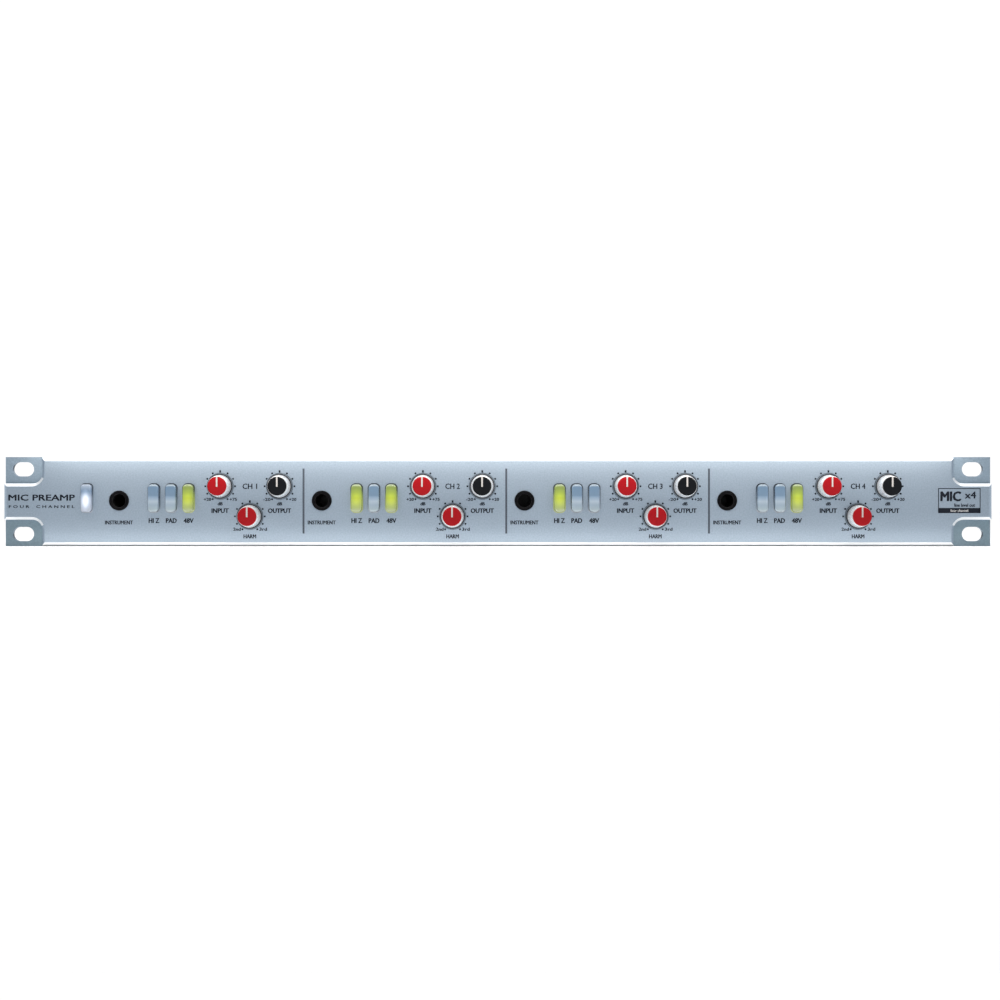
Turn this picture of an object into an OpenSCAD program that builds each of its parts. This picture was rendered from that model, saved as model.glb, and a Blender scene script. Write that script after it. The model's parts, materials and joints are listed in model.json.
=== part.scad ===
// Four-channel microphone preamp in a one-unit rack case.
// X runs to the right seen from the front, Y runs to the rear and Z runs up.
// The origin is on the rear face of the rack ears, at the centre of their four slots.

/* [Front panel] */
// Width of the panel over both ears
panel_w = 482.6; // [480:0.1:620]
// Height of the panel
panel_h = 43.7; // [43:0.1:60]
// Thickness of the ears
ear_t = 3; // [2:0.5:5]
// How far the face stands in front of the ears
face_raise = 4; // [2:0.5:6]
// Bevel along the top and bottom edges of the face
face_bevel = 2; // [0.5:0.1:3]
// Width of each corner recess, measured from the end of the panel
recess_w = 18.6; // [17:0.1:22]
// Height of the raised bridge between two corner recesses
bridge_h = 17.6; // [12:0.1:20]
// Radius of the inner corner of a recess
recess_r = 5; // [2:0.5:8]

/* [Rack slots] */
// Distance of a slot's centre from the end of the panel
slot_inset = 8.75; // [8:0.05:9]
// Vertical spacing of the slots
slot_pitch_z = 31.75; // [30:0.05:32]
// Length of a slot
slot_w = 10.3; // [8:0.1:11]
// Height of a slot
slot_h = 7; // [6:0.1:7.6]

/* [Channels] */
// Distance from the left end of the panel to the first jack
left_margin = 56.25; // [54:0.05:60]
// Distance from one channel to the next
channel_pitch = 99; // [98:0.1:100]
// Distance from the left end of the panel to the power button
power_margin = 40.6; // [38:0.1:42]
// Height of the jacks above the middle of the panel
jack_z = 0.5; // [-2:0.1:2]
// Height of the buttons above the middle of the panel
button_z = 1.7; // [-2:0.1:2]
// Distance from the jack to the first of the three buttons
first_button_dx = 17.1; // [15:0.1:18]
// Distance from one button to the next
button_pitch = 8.45; // [8.3:0.05:8.6]
// Distance from the jack to the input knob
input_dx = 49.4; // [48:0.1:50]
// Distance from one knob to the next
knob_pitch = 14.5; // [14.5:0.1:15]
// Height of the input and output knobs above the middle of the panel
upper_knob_z = 7.5; // [7:0.1:9]
// Height of the harmonic knob above the middle of the panel
lower_knob_z = -7.2; // [-9:0.1:-7]
// Width of the engraved line between two channels
divider_w = 1; // [0.5:0.1:1.5]
// Length of the engraved line between two channels
divider_h = 31.8; // [20:0.1:34]
// Depth of the engraved line between two channels
divider_depth = 0.4; // [0.2:0.1:0.8]
// Distance from the engraved line to the jack on its right
divider_dx = 8.9; // [8:0.1:10]

/* [Knobs] */
// Diameter of a knob at its base
knob_base_d = 12.2; // [11:0.1:14]
// Diameter of a knob at its top
knob_top_d = 9.3; // [8:0.1:11]
// Height of a knob with its cap
knob_h = 12; // [10:0.1:16]
// Thickness of the coloured cap
cap_t = 1.6; // [1:0.1:2.5]
// Width of the pointer line in the cap
pointer_w = 0.8; // [0.5:0.1:1.2]
// Depth of the pointer line in the cap
pointer_depth = 0.3; // [0.2:0.1:0.6]
// Gap between a knob and the face
knob_gap = 0.8; // [0.4:0.1:1.5]
// Diameter of a potentiometer shaft
shaft_d = 6; // [4:0.1:7.2]
// Width and height of a potentiometer body
pot_w = 12; // [9:0.1:12.5]

/* [Buttons] */
// Width of a button
button_w = 5.1; // [4:0.1:6.2]
// Height of a button
button_h = 13.4; // [10:0.1:15]
// Corner radius of the channel buttons
button_r = 1.9; // [0.5:0.1:2.5]
// How far a button stands out of the face
button_proud = 3.5; // [3:0.1:5]
// Gap around a button in its opening
button_gap = 0.6; // [0.3:0.1:0.9]
// Corner radius of the power button
power_r = 1.5; // [0.5:0.1:2]
// Width and height of a button's stem
stem_w = 3; // [2:0.1:3.6]
// Travel of a button
button_travel = 2; // [1:0.1:2.5]

/* [Jacks] */
// Diameter of the jack bore
jack_bore_d = 6.5; // [6.3:0.05:6.8]
// Diameter of the jack's nose
jack_nose_d = 9.6; // [9:0.1:11]
// Width and height of the jack's body
jack_body_w = 15; // [13:0.1:16]
// Depth of the jack bore behind the face
jack_depth = 32; // [30:0.5:36]

/* [Chassis] */
// Depth of the chassis behind the panel
chassis_d = 170; // [160:1:240]
// Distance from the end of the panel to the side of the chassis
chassis_inset = 22.3; // [22:0.1:24]
// Gap between the chassis and the top or bottom edge of the panel
chassis_gap = 0.5; // [0.2:0.1:1]
// Thickness of the sheet metal
sheet_t = 1.5; // [1:0.1:2]
// Depth of the cover's side lips
lip_h = 12; // [10:0.5:16]
// Length of a vent slot
vent_l = 26; // [15:1:30]
// Width of a vent slot
vent_w = 3; // [2:0.5:4]

/* [Boards] */
// Thickness of a circuit board
board_t = 1.6; // [1:0.1:2]
// Distance from the rear face of the panel to the control board
control_board_y = 20; // [19:0.1:24]
// Height of the main board above the chassis floor
standoff_h = 8; // [5:0.5:10]
// Diameter of a standoff
standoff_d = 6; // [5:0.1:7]

/* [Power supply] */
// Diameter of the toroidal transformer
toroid_d = 74; // [60:1:76]
// Height of the toroidal transformer
toroid_h = 31; // [24:0.5:32]
// Diameter of the hole in the toroidal transformer
toroid_bore_d = 22; // [16:1:30]

/* [Rear connectors] */
// Distance from the left side of the chassis to the first channel's input connector
xlr_margin = 119; // [115:1:125]
// Distance from one channel's connectors to the next channel's
xlr_channel_pitch = 74; // [72:1:76]
// Distance from a channel's input connector to its output connector
xlr_pair_pitch = 34; // [32:1:36]
// Width of a connector flange
xlr_flange_w = 26; // [26:0.1:28]
// Height of a connector flange
xlr_flange_h = 31; // [31:0.1:34]
// Thickness of a connector flange
xlr_flange_t = 2.5; // [2:0.1:4]
// Diameter of a connector's barrel
xlr_barrel_d = 23.6; // [23.2:0.1:24]
// Length of a connector's barrel, measured from the front of its flange
xlr_barrel_l = 24; // [22:0.5:26]
// Diameter of the space around a female insert
xlr_groove_d = 19.3; // [19:0.1:19.5]
// Diameter of a female insert
xlr_insert_d = 15.9; // [15.7:0.05:16]
// Diameter of the space in a male connector
xlr_male_d = 16.2; // [16:0.05:16.4]
// Depth of both connectors' plug space
xlr_plug_depth = 15.5; // [14:0.5:17]
// Diameter of a contact pin
xlr_pin_d = 2.4; // [2.3:0.05:2.5]
// Distance of the contact pins from the middle of a connector
xlr_pin_r = 3.9; // [3.7:0.05:4.1]
// Travel of the release tab
latch_travel = 1.5; // [1:0.1:1.6]

/* [Mains inlet] */
// Distance from the left side of the chassis to the mains inlet
inlet_margin = 40; // [38:1:46]
// Width of the inlet's flange
inlet_flange_w = 50; // [48:0.5:54]
// Height of the inlet's flange
inlet_flange_h = 34; // [33:0.5:36]
// Width of the inlet's body
inlet_body_w = 27.4; // [27:0.1:29]
// Height of the inlet's body
inlet_body_h = 30.4; // [30:0.1:31]
// Width of the inlet's plug space
plug_w = 24.4; // [24:0.1:24.6]
// Height of the inlet's plug space
plug_h = 16.6; // [16:0.1:17]
// Depth of the inlet's plug space
plug_depth = 16; // [15:0.5:18]
// Width of the fuse drawer
drawer_w = 22; // [21:0.1:23]
// Height of the fuse drawer
drawer_h = 7.4; // [7:0.1:8]
// Length of the fuse drawer
drawer_l = 26; // [24:0.5:28]

/* [Clearances] */
// Radial gap of a turning shaft in its bore
running_gap = 0.05; // [0.02:0.01:0.1]
// Gap between fixed pieces that are put together
fixed_gap = 0.1; // [0.05:0.01:0.2]
// Gap around a sliding piece
sliding_gap = 0.3; // [0.2:0.05:0.4]

/* [Hidden] */
CHANNEL_COUNT = 4;
CHANNELS = [1 : CHANNEL_COUNT];
CHANNEL_NODES = [
    "input_knob_", "input_cap_", "harmonic_knob_", "harmonic_cap_", "output_knob_", "output_cap_",
    "hi_z_button_", "pad_button_", "phantom_button_", "xlr_latch_"
];

$fn = 64;
EPS = 1;  // how far a cutter runs past the face it opens

// Panel and chassis
face_y = -ear_t - face_raise;
slot_x = panel_w / 2 - slot_inset;
chassis_w = panel_w - 2 * chassis_inset;
chassis_h = panel_h - 2 * chassis_gap;
floor_z = sheet_t - chassis_h / 2;
roof_z = chassis_h / 2 - sheet_t;
wall_x = chassis_w / 2 - sheet_t;
rear_y = chassis_d;
rear_inner_y = rear_y - sheet_t;

// Screws
screw_d = 3;
screw_head_d = 5.5;
screw_head_h = 1.8;
screw_hole_d = screw_d + 2 * fixed_gap;
panel_screw_z = panel_h / 2 - 6;
panel_screw_xs = [for (s = [-1, 1], k = [0.45, 0.9]) s * k * chassis_w / 2];
cover_screw_ys = [for (k = [0.18, 0.5, 0.82]) k * chassis_d];
lip_x = wall_x - fixed_gap;
cover_screw_z = roof_z - lip_h / 2;

// Knobs
knob_seat_y = face_y - knob_gap;
knob_body_h = knob_h - cap_t;
knob_neck_r = knob_base_d / 2 - (knob_base_d - knob_top_d) / 2 * knob_body_h / knob_h;
spigot_r = 2;
spigot_l = 2;
shaft_in_knob = knob_body_h - spigot_l - 1.4;
pot_front_y = 6;
bushing_wall = 0.6;
bushing_r = shaft_d / 2 + running_gap + bushing_wall;
bushing_front_y = face_y + 2;
shaft_end_y = control_board_y - 6;

// Buttons
button_front_y = face_y - button_proud;
stem_start_y = sheet_t + 1;
switch_front_y = 8;
stem_in_switch = 4;
switch_w = 7.6;
switch_h = 14;
power_x = power_margin - panel_w / 2;

// Main board, between the transformer and the right wall
main_board_z = floor_z + standoff_h;
main_board_top = main_board_z + board_t;
main_board_x0 = -chassis_w / 2 + 96;
main_board_x1 = wall_x - 10;
main_board_y0 = 40;
main_board_y1 = rear_y - xlr_barrel_l - 7;
board_hole_inset = 5;
main_board_holes = [
    for (
        x = [main_board_x0 + board_hole_inset, between_channels_x(1),
            between_channels_x(3), main_board_x1 - board_hole_inset],
        y = [main_board_y0 + board_hole_inset, main_board_y1 - board_hole_inset]
    )
    [x, y]
];
regulator_x = main_board_x0 + 14;
regulator_t = 4.5;
heat_sink_t = 4;
header_inset = 6;
header_h = 9;
ribbon_w = 20;
ribbon_t = 1;
ribbon_bend_r = 12;

// Control board
control_board_h = chassis_h - 2 * sheet_t - 2;
control_board_x0 = -wall_x + 5;
control_board_x1 = wall_x - 5;
control_hole_z = control_board_h / 2 - 4;
control_board_holes = [
    for (x = [control_board_x0 + 4, jack_x(2) - 6, jack_x(3) - 6, control_board_x1 - 5], s = [-1, 1])
    [x, s * control_hole_z]
];

// Transformer
toroid_x = -chassis_w / 2 + 48;
toroid_y = 72;
pad_t = 1.5;
toroid_corner_r = 6;
toroid_z = pad_t + fixed_gap;
clamp_z = toroid_z + toroid_h + pad_t + 2 * fixed_gap;
clamp_plate_t = 1;
toroid_bolt_d = 5;
toroid_nut_r = 4.6;
toroid_nut_h = 2.4;

// Rear connectors
xlr_face_y = rear_y + xlr_flange_t;
xlr_back_y = xlr_face_y - xlr_barrel_l;
xlr_hole_d = xlr_barrel_d + 2 * sliding_gap;
xlr_screw_dx = 9.5;
xlr_screw_dz = 12;
tail_l = 4;
xlr_pin_angles = [30, 150, 270];
latch_z = xlr_groove_d / 2 + 0.35;
latch_t = 0.9;
latch_w = 5;
latch_tab_w = 8;
latch_tab_h = 4;
latch_tab_t = 1.2;
latch_in = 9;

// Mains inlet
inlet_x = -chassis_w / 2 + inlet_margin;
inlet_flange_t = 2;
inlet_face_y = rear_y + inlet_flange_t;
inlet_body_l = 32;
inlet_screw_dx = 20;
plug_z = -inlet_body_h / 2 + 1.7 + plug_h / 2;
plug_chamfer = 5;
plug_pin_w = 2;
plug_pin_h = 4;
plug_pin_dx = 7;
plug_pin_dz = 2;
drawer_z = inlet_body_h / 2 - 1.7 - drawer_h / 2;
drawer_plate_t = 1.8;
drawer_plate_rim = 1;
fuse_d = 5.2;
fuse_l = 20;

// Where things are along the panel
function jack_x(c) = left_margin - panel_w / 2 + (c - 1) * channel_pitch;
function button_x(c, k) = jack_x(c) + first_button_dx + k * button_pitch;
function knob_x(c, k) = jack_x(c) + input_dx + k * knob_pitch;
function knob_z(k) = k == 1 ? lower_knob_z : upper_knob_z;
function xlr_input_x(c) = -chassis_w / 2 + xlr_margin + (c - 1) * xlr_channel_pitch;
function xlr_output_x(c) = xlr_input_x(c) + xlr_pair_pitch;
function between_channels_x(c) = xlr_input_x(c) + (xlr_pair_pitch + xlr_channel_pitch) / 2;

// A rod along Y
module rod_y(x, z, y0, y1, r) {
    translate([x, y1, z]) rotate([90, 0, 0]) cylinder(h = y1 - y0, r = r);
}

// A box along Y, centred on x and z
module box_y(x, z, y0, y1, w, h) {
    translate([x - w / 2, y0, z - h / 2]) cube([w, y1 - y0, h]);
}

// A flat shape, drawn as seen from the front, made solid from y0 to y1
module slab_y(x, z, y0, y1) {
    translate([x, y1, z]) rotate([90, 0, 0]) linear_extrude(y1 - y0) children();
}

module rounded_rect(w, h, r) {
    square([w - 2 * r, h], center = true);
    square([w, h - 2 * r], center = true);
    for (sx = [-1, 1], sy = [-1, 1])
        translate([sx * (w / 2 - r), sy * (h / 2 - r)]) circle(r);
}

// An upright slot with round ends
module capsule(w, h) {
    square([w, h - w], center = true);
    for (s = [-1, 1])
        translate([0, s * (h - w) / 2]) circle(w / 2);
}

// Whatever is set on every button's place
module at_buttons() {
    for (c = CHANNELS, k = [0 : 2])
        translate([button_x(c, k), 0, button_z]) children();
}

// A corner recess in the first quadrant, with a rounded inner corner
module recess_outline() {
    x0 = panel_w / 2 - recess_w;
    z0 = bridge_h / 2;
    w = recess_w + EPS;
    h = panel_h / 2 - z0 + EPS;
    translate([x0 + recess_r, z0]) square([w - recess_r, h]);
    translate([x0, z0 + recess_r]) square([w, h - recess_r]);
    translate([x0 + recess_r, z0 + recess_r]) circle(recess_r);
}

// A pan-head screw with a hexagon socket. Its head stands on z = 0 and its thread points down.
module screw(length) {
    difference() {
        cylinder(h = screw_head_h, r = screw_head_d / 2, $fn = 32);
        translate([0, 0, screw_head_h / 2]) cylinder(h = screw_head_h, r = 1.2, $fn = 6);
    }
    translate([0, 0, -length]) cylinder(h = length, r = screw_d / 2, $fn = 32);
}

module front_panel() {
    color("lightsteelblue")
    difference() {
        rotate([90, 0, 90])
            linear_extrude(panel_w, center = true)
                polygon([
                    [0, -panel_h / 2], [0, panel_h / 2],
                    [face_y + face_bevel, panel_h / 2], [face_y, panel_h / 2 - face_bevel],
                    [face_y, face_bevel - panel_h / 2], [face_y + face_bevel, -panel_h / 2]
                ]);
        for (mx = [0, 1], mz = [0, 1])
            mirror([mx, 0, 0]) mirror([0, 0, mz])
                slab_y(0, 0, face_y - EPS, -ear_t) recess_outline();
        for (sx = [-1, 1], sz = [-1, 1])
            slab_y(sx * slot_x, sz * slot_pitch_z / 2, face_y - EPS, EPS)
                rotate(90) capsule(slot_h, slot_w);
        for (c = CHANNELS) {
            rod_y(jack_x(c), jack_z, face_y - EPS, EPS, jack_nose_d / 2 + fixed_gap);
            for (k = [0 : 2])
                rod_y(knob_x(c, k), knob_z(k), face_y - EPS, EPS, bushing_r + fixed_gap);
        }
        at_buttons()
            slab_y(0, 0, face_y - EPS, EPS) button_opening();
        slab_y(power_x, button_z, face_y - EPS, EPS) power_opening();
        for (c = [2 : CHANNEL_COUNT])
            box_y(jack_x(c) - divider_dx, 0.3, face_y - EPS, face_y + divider_depth, divider_w, divider_h);
        for (x = panel_screw_xs, s = [-1, 1])
            rod_y(x, s * panel_screw_z, -5, EPS, screw_hole_d / 2);
    }
}

module button_opening() {
    rounded_rect(button_w + 2 * button_gap, button_h + 2 * button_gap, button_r + button_gap);
}

module power_opening() {
    rounded_rect(button_w + 2 * button_gap, button_h + 2 * button_gap, power_r + button_gap);
}

// The floor and the two sides, folded from one sheet
module chassis_tray() {
    color("dimgray")
    difference() {
        translate([-chassis_w / 2, 0, -chassis_h / 2])
            cube([chassis_w, chassis_d, chassis_h - sheet_t]);
        translate([-wall_x, -EPS, floor_z])
            cube([2 * wall_x, chassis_d + 2 * EPS, chassis_h]);
        for (m = [0, 1], y = cover_screw_ys)
            mirror([m, 0, 0])
                translate([wall_x - EPS, y, cover_screw_z])
                    rotate([0, 90, 0]) cylinder(h = sheet_t + 2 * EPS, r = screw_hole_d / 2);
    }
}

// A plate that stands between the sides of the tray, from y to y + sheet_t
module cross_plate(y) {
    translate([-wall_x, y, floor_z])
        cube([2 * wall_x, sheet_t, roof_z - floor_z]);
}

module front_wall() {
    color("dimgray")
    difference() {
        cross_plate(0);
        front_wall_cuts();
    }
}

module rear_panel() {
    color("dimgray")
    difference() {
        cross_plate(rear_inner_y);
        rear_wall_cuts();
    }
}

module front_wall_cuts() {
    for (c = CHANNELS) {
        w = jack_body_w + 2 * sliding_gap;
        box_y(jack_x(c), jack_z, -EPS, sheet_t + EPS, w, w);
        for (k = [0 : 2])
            rod_y(knob_x(c, k), knob_z(k), -EPS, sheet_t + EPS, bushing_r + sliding_gap);
    }
    at_buttons()
        slab_y(0, 0, -EPS, sheet_t + EPS) button_opening();
    slab_y(power_x, button_z, -EPS, sheet_t + EPS) power_opening();
    for (x = panel_screw_xs, s = [-1, 1])
        rod_y(x, s * panel_screw_z, -EPS, sheet_t + EPS, screw_hole_d / 2);
    for (p = control_board_holes)
        rod_y(p[0], p[1], -EPS, sheet_t + EPS, screw_hole_d / 2);
}

module rear_wall_cuts() {
    y0 = rear_inner_y - EPS;
    y1 = rear_y + EPS;
    for (c = CHANNELS, x = [xlr_input_x(c), xlr_output_x(c)]) {
        rod_y(x, 0, y0, y1, xlr_hole_d / 2);
        for (s = [-1, 1])
            rod_y(x - s * xlr_screw_dx, s * xlr_screw_dz, y0, y1, screw_hole_d / 2);
    }
    box_y(inlet_x, 0, y0, y1, inlet_body_w + 2 * sliding_gap, inlet_body_h + 2 * sliding_gap);
    for (s = [-1, 1])
        rod_y(inlet_x + s * inlet_screw_dx, 0, y0, y1, screw_hole_d / 2);
}

module top_cover() {
    color("dimgray")
    difference() {
        union() {
            translate([-chassis_w / 2, 0, roof_z]) cube([chassis_w, chassis_d, sheet_t]);
            for (m = [0, 1])
                mirror([m, 0, 0])
                    translate([lip_x - sheet_t, 2 * sheet_t, roof_z - lip_h])
                        cube([sheet_t, chassis_d - 4 * sheet_t, lip_h + sheet_t]);
        }
        for (x0 = [toroid_x, main_board_x0 + 60, main_board_x1 - 60], k = [-4 : 4])
            translate([x0 + 2.5 * vent_w * k, toroid_y, roof_z - EPS])
                linear_extrude(sheet_t + 2 * EPS) capsule(vent_w, vent_l);
        for (m = [0, 1], y = cover_screw_ys)
            mirror([m, 0, 0])
                translate([lip_x - sheet_t - EPS, y, cover_screw_z])
                    rotate([0, 90, 0]) cylinder(h = sheet_t + EPS + fixed_gap / 2, r = screw_hole_d / 2);
    }
}

module m3_screws() {
    color("gray") {
        for (m = [0, 1], y = cover_screw_ys)
            mirror([m, 0, 0])
                translate([chassis_w / 2, y, cover_screw_z]) rotate([0, 90, 0]) screw(5);
        for (x = panel_screw_xs, s = [-1, 1])
            translate([x, sheet_t, s * panel_screw_z]) rotate([-90, 0, 0]) screw(sheet_t + 4);
        for (c = CHANNELS, x = [xlr_input_x(c), xlr_output_x(c)], s = [-1, 1])
            translate([x - s * xlr_screw_dx, xlr_face_y, s * xlr_screw_dz])
                rotate([-90, 0, 0]) screw(xlr_flange_t + sheet_t + 3);
        for (s = [-1, 1])
            translate([inlet_x + s * inlet_screw_dx, inlet_face_y, 0])
                rotate([-90, 0, 0]) screw(inlet_flange_t + sheet_t + 3);
        for (p = main_board_holes)
            translate([p[0], p[1], main_board_top]) screw(board_t + 4);
        for (p = control_board_holes)
            translate([p[0], control_board_y + board_t, p[1]])
                rotate([-90, 0, 0]) screw(board_t + 4);
    }
}

module jack_sockets() {
    color("black")
    for (c = CHANNELS)
        difference() {
            union() {
                rod_y(jack_x(c), jack_z, face_y - 0.3, EPS, jack_nose_d / 2);
                box_y(jack_x(c), jack_z, 0, face_y + jack_depth + 2, jack_body_w, jack_body_w);
            }
            rod_y(jack_x(c), jack_z, face_y - EPS, face_y + jack_depth, jack_bore_d / 2);
        }
}

module control_board() {
    y1 = control_board_y + board_t;
    w = jack_body_w + 2 * sliding_gap;
    color("darkgreen")
    difference() {
        translate([control_board_x0, control_board_y, -control_board_h / 2])
            cube([control_board_x1 - control_board_x0, board_t, control_board_h]);
        for (c = CHANNELS)
            box_y(jack_x(c), jack_z, control_board_y - EPS, y1 + EPS, w, w);
        for (p = control_board_holes)
            rod_y(p[0], p[1], control_board_y - EPS, y1 + EPS, screw_hole_d / 2);
    }
}

module potentiometers() {
    color("steelblue")
    for (c = CHANNELS, k = [0 : 2])
        difference() {
            union() {
                box_y(knob_x(c, k), knob_z(k), pot_front_y, control_board_y, pot_w, pot_w);
                rod_y(knob_x(c, k), knob_z(k), bushing_front_y, pot_front_y + EPS, bushing_r);
            }
            rod_y(
                knob_x(c, k), knob_z(k), bushing_front_y - EPS, shaft_end_y + sliding_gap,
                shaft_d / 2 + running_gap
            );
        }
}

module switch_body(x) {
    w = stem_w + 2 * sliding_gap;
    end_y = switch_front_y + stem_in_switch + button_travel + sliding_gap;
    difference() {
        box_y(x, button_z, switch_front_y, control_board_y, switch_w, switch_h);
        box_y(x, button_z, switch_front_y - EPS, end_y, w, w);
    }
}

module button_switches() {
    color("ivory") {
        for (c = CHANNELS, k = [0 : 2])
            switch_body(button_x(c, k));
        switch_body(power_x);
    }
}

module button_stem(x) {
    box_y(x, button_z, stem_start_y - EPS, switch_front_y + stem_in_switch, stem_w, stem_w);
}

module channel_button(c, k) {
    color("lightblue") {
        slab_y(button_x(c, k), button_z, button_front_y, stem_start_y)
            rounded_rect(button_w, button_h, button_r);
        button_stem(button_x(c, k));
    }
}

module power_button() {
    color("white") {
        slab_y(power_x, button_z, button_front_y, stem_start_y) rounded_rect(button_w, button_h, power_r);
        button_stem(power_x);
    }
}

// The knob's body, and the shaft that turns with it as a solid of its own
module knob(c, k) {
    translate([knob_x(c, k), knob_seat_y, knob_z(k)]) rotate([90, 0, 0]) {
        color("silver")
        difference() {
            cylinder(h = knob_body_h, r1 = knob_base_d / 2, r2 = knob_neck_r);
            translate([0, 0, -EPS])
                cylinder(h = EPS + shaft_in_knob, r = shaft_d / 2 + running_gap);
            translate([0, 0, knob_body_h - spigot_l - fixed_gap])
                cylinder(h = spigot_l + EPS, r = spigot_r + fixed_gap);
        }
        color("gray")
        translate([0, 0, knob_seat_y - shaft_end_y])
            cylinder(h = shaft_end_y - knob_seat_y + shaft_in_knob - fixed_gap, r = shaft_d / 2);
    }
}

module knob_cap(c, k, cap_color) {
    color(cap_color)
    translate([knob_x(c, k), knob_seat_y - knob_body_h, knob_z(k)]) rotate([90, 0, 0])
        difference() {
            union() {
                cylinder(h = cap_t, r = knob_top_d / 2 - fixed_gap / 2);
                translate([0, 0, -spigot_l]) cylinder(h = spigot_l + cap_t / 2, r = spigot_r);
            }
            translate([-pointer_w / 2, 0, cap_t - pointer_depth])
                cube([pointer_w, knob_top_d, cap_t]);
        }
}

module main_board() {
    color("darkgreen")
    difference() {
        translate([main_board_x0, main_board_y0, main_board_z])
            cube([main_board_x1 - main_board_x0, main_board_y1 - main_board_y0, board_t]);
        for (p = main_board_holes)
            translate([p[0], p[1], main_board_z - EPS])
                cylinder(h = board_t + 2 * EPS, r = screw_hole_d / 2);
    }
}

// A block that stands on the main board
module on_board(x, y, w, d, h) {
    translate([x - w / 2, y - d / 2, main_board_top]) cube([w, d, h]);
}

module board_components() {
    mid_y = (main_board_y0 + main_board_y1) / 2;
    for (c = CHANNELS) {
        x = xlr_input_x(c) + xlr_pair_pitch / 2;
        color("royalblue")
        for (s = [-1, 1])
            on_board(x + s * 14, main_board_y1 - 14, 20, 10, 10);
        color("black")
        for (k = [0 : 2])
            on_board(x - 20 + 20 * k, mid_y, 9.4, 6.4, 4);
        color("gray")
        on_board(x, main_board_y0 + header_inset, ribbon_w + 6, 6, header_h);
    }
    color("black")
    for (k = [-1 : 1])
        on_board(regulator_x, mid_y + 18 * k, regulator_t, 10, 16);
    color("silver")
    on_board(regulator_x - (regulator_t + heat_sink_t) / 2 - fixed_gap, mid_y, heat_sink_t, 56, 22);
}

module capacitor(x, y, d, h) {
    translate([x, y, main_board_top]) cylinder(h = h, r = d / 2);
}

module capacitors() {
    color("midnightblue")
    for (c = CHANNELS) {
        x = xlr_input_x(c) + xlr_pair_pitch / 2;
        for (k = [0 : 3])
            capacitor(x - 24 + 16 * k, main_board_y0 + 22, 8, 12);
    }
    color("midnightblue")
    for (s = [-1, 1])
        capacitor(regulator_x + 14, (main_board_y0 + main_board_y1) / 2 + s * 22, 16, 25);
}

module board_standoffs() {
    bore_r = screw_hole_d / 2;
    color("gold") {
        for (p = main_board_holes)
            translate([p[0], p[1], floor_z])
                difference() {
                    cylinder(h = standoff_h, r = standoff_d / 2);
                    cylinder(h = standoff_h + EPS, r = bore_r);
                }
        for (p = control_board_holes)
            difference() {
                rod_y(p[0], p[1], sheet_t, control_board_y, standoff_d / 2);
                rod_y(p[0], p[1], sheet_t - EPS, control_board_y + EPS, bore_r);
            }
    }
}

// A flat cable from the control board, back and down to each channel's header on the main board
module ribbon_cables() {
    y0 = control_board_y + board_t;
    run = main_board_y0 + header_inset - y0 - ribbon_bend_r;
    color("lightgray")
    for (c = CHANNELS)
        translate([xlr_input_x(c) + (xlr_pair_pitch - ribbon_w) / 2, y0, main_board_top + header_h])
            rotate([90, 0, 90])
                linear_extrude(ribbon_w) {
                    translate([0, ribbon_bend_r - ribbon_t]) square([run, ribbon_t]);
                    translate([run, 0])
                        intersection() {
                            square(ribbon_bend_r + EPS);
                            difference() {
                                circle(ribbon_bend_r);
                                circle(ribbon_bend_r - ribbon_t);
                            }
                        }
                }
}

module pad_ring(r) {
    difference() {
        circle(toroid_d / 2 - toroid_corner_r);
        circle(r);
    }
}

module mains_transformer() {
    ring_w = (toroid_d - toroid_bore_d) / 2;
    translate([toroid_x, toroid_y, floor_z]) {
        color("goldenrod")
        translate([0, 0, toroid_z])
            rotate_extrude()
                translate([(toroid_bore_d + ring_w) / 2, toroid_h / 2])
                    rounded_rect(ring_w, toroid_h, toroid_corner_r);
        color("black")
        for (z = [0, toroid_z + toroid_h + fixed_gap])
            translate([0, 0, z]) linear_extrude(pad_t) pad_ring(toroid_bore_d / 2);
        color("silver")
        translate([0, 0, clamp_z])
            linear_extrude(clamp_plate_t) pad_ring(toroid_bolt_d / 2 + fixed_gap);
        color("gray") {
            cylinder(h = clamp_z + clamp_plate_t + EPS, r = toroid_bolt_d / 2);
            translate([0, 0, clamp_z + clamp_plate_t + fixed_gap])
                cylinder(h = toroid_nut_h, r = toroid_nut_r, $fn = 6);
        }
    }
}

// The mains plug's outline, with two chamfered upper corners
module plug_outline() {
    w = plug_w / 2;
    h = plug_h / 2;
    polygon([
        [-w, -h], [w, -h], [w, h - plug_chamfer], [w - plug_chamfer, h],
        [plug_chamfer - w, h], [-w, h - plug_chamfer]
    ]);
}

module mains_inlet() {
    back_y = inlet_face_y - inlet_body_l;
    cavity_y = inlet_face_y - plug_depth;
    color("black")
    difference() {
        union() {
            slab_y(inlet_x, 0, rear_y, inlet_face_y) rounded_rect(inlet_flange_w, inlet_flange_h, 3);
            box_y(inlet_x, 0, back_y, inlet_face_y, inlet_body_w, inlet_body_h);
        }
        slab_y(inlet_x, plug_z, cavity_y, inlet_face_y + EPS) plug_outline();
        box_y(
            inlet_x, drawer_z, inlet_face_y - drawer_l - sliding_gap, inlet_face_y + EPS,
            drawer_w + 2 * sliding_gap, drawer_h + 2 * sliding_gap
        );
        for (s = [-1, 1])
            rod_y(inlet_x + s * inlet_screw_dx, 0, rear_y - EPS, inlet_face_y + EPS, screw_hole_d / 2);
        plug_pins(fixed_gap);
    }
    color("gold") plug_pins(0);
}

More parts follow.
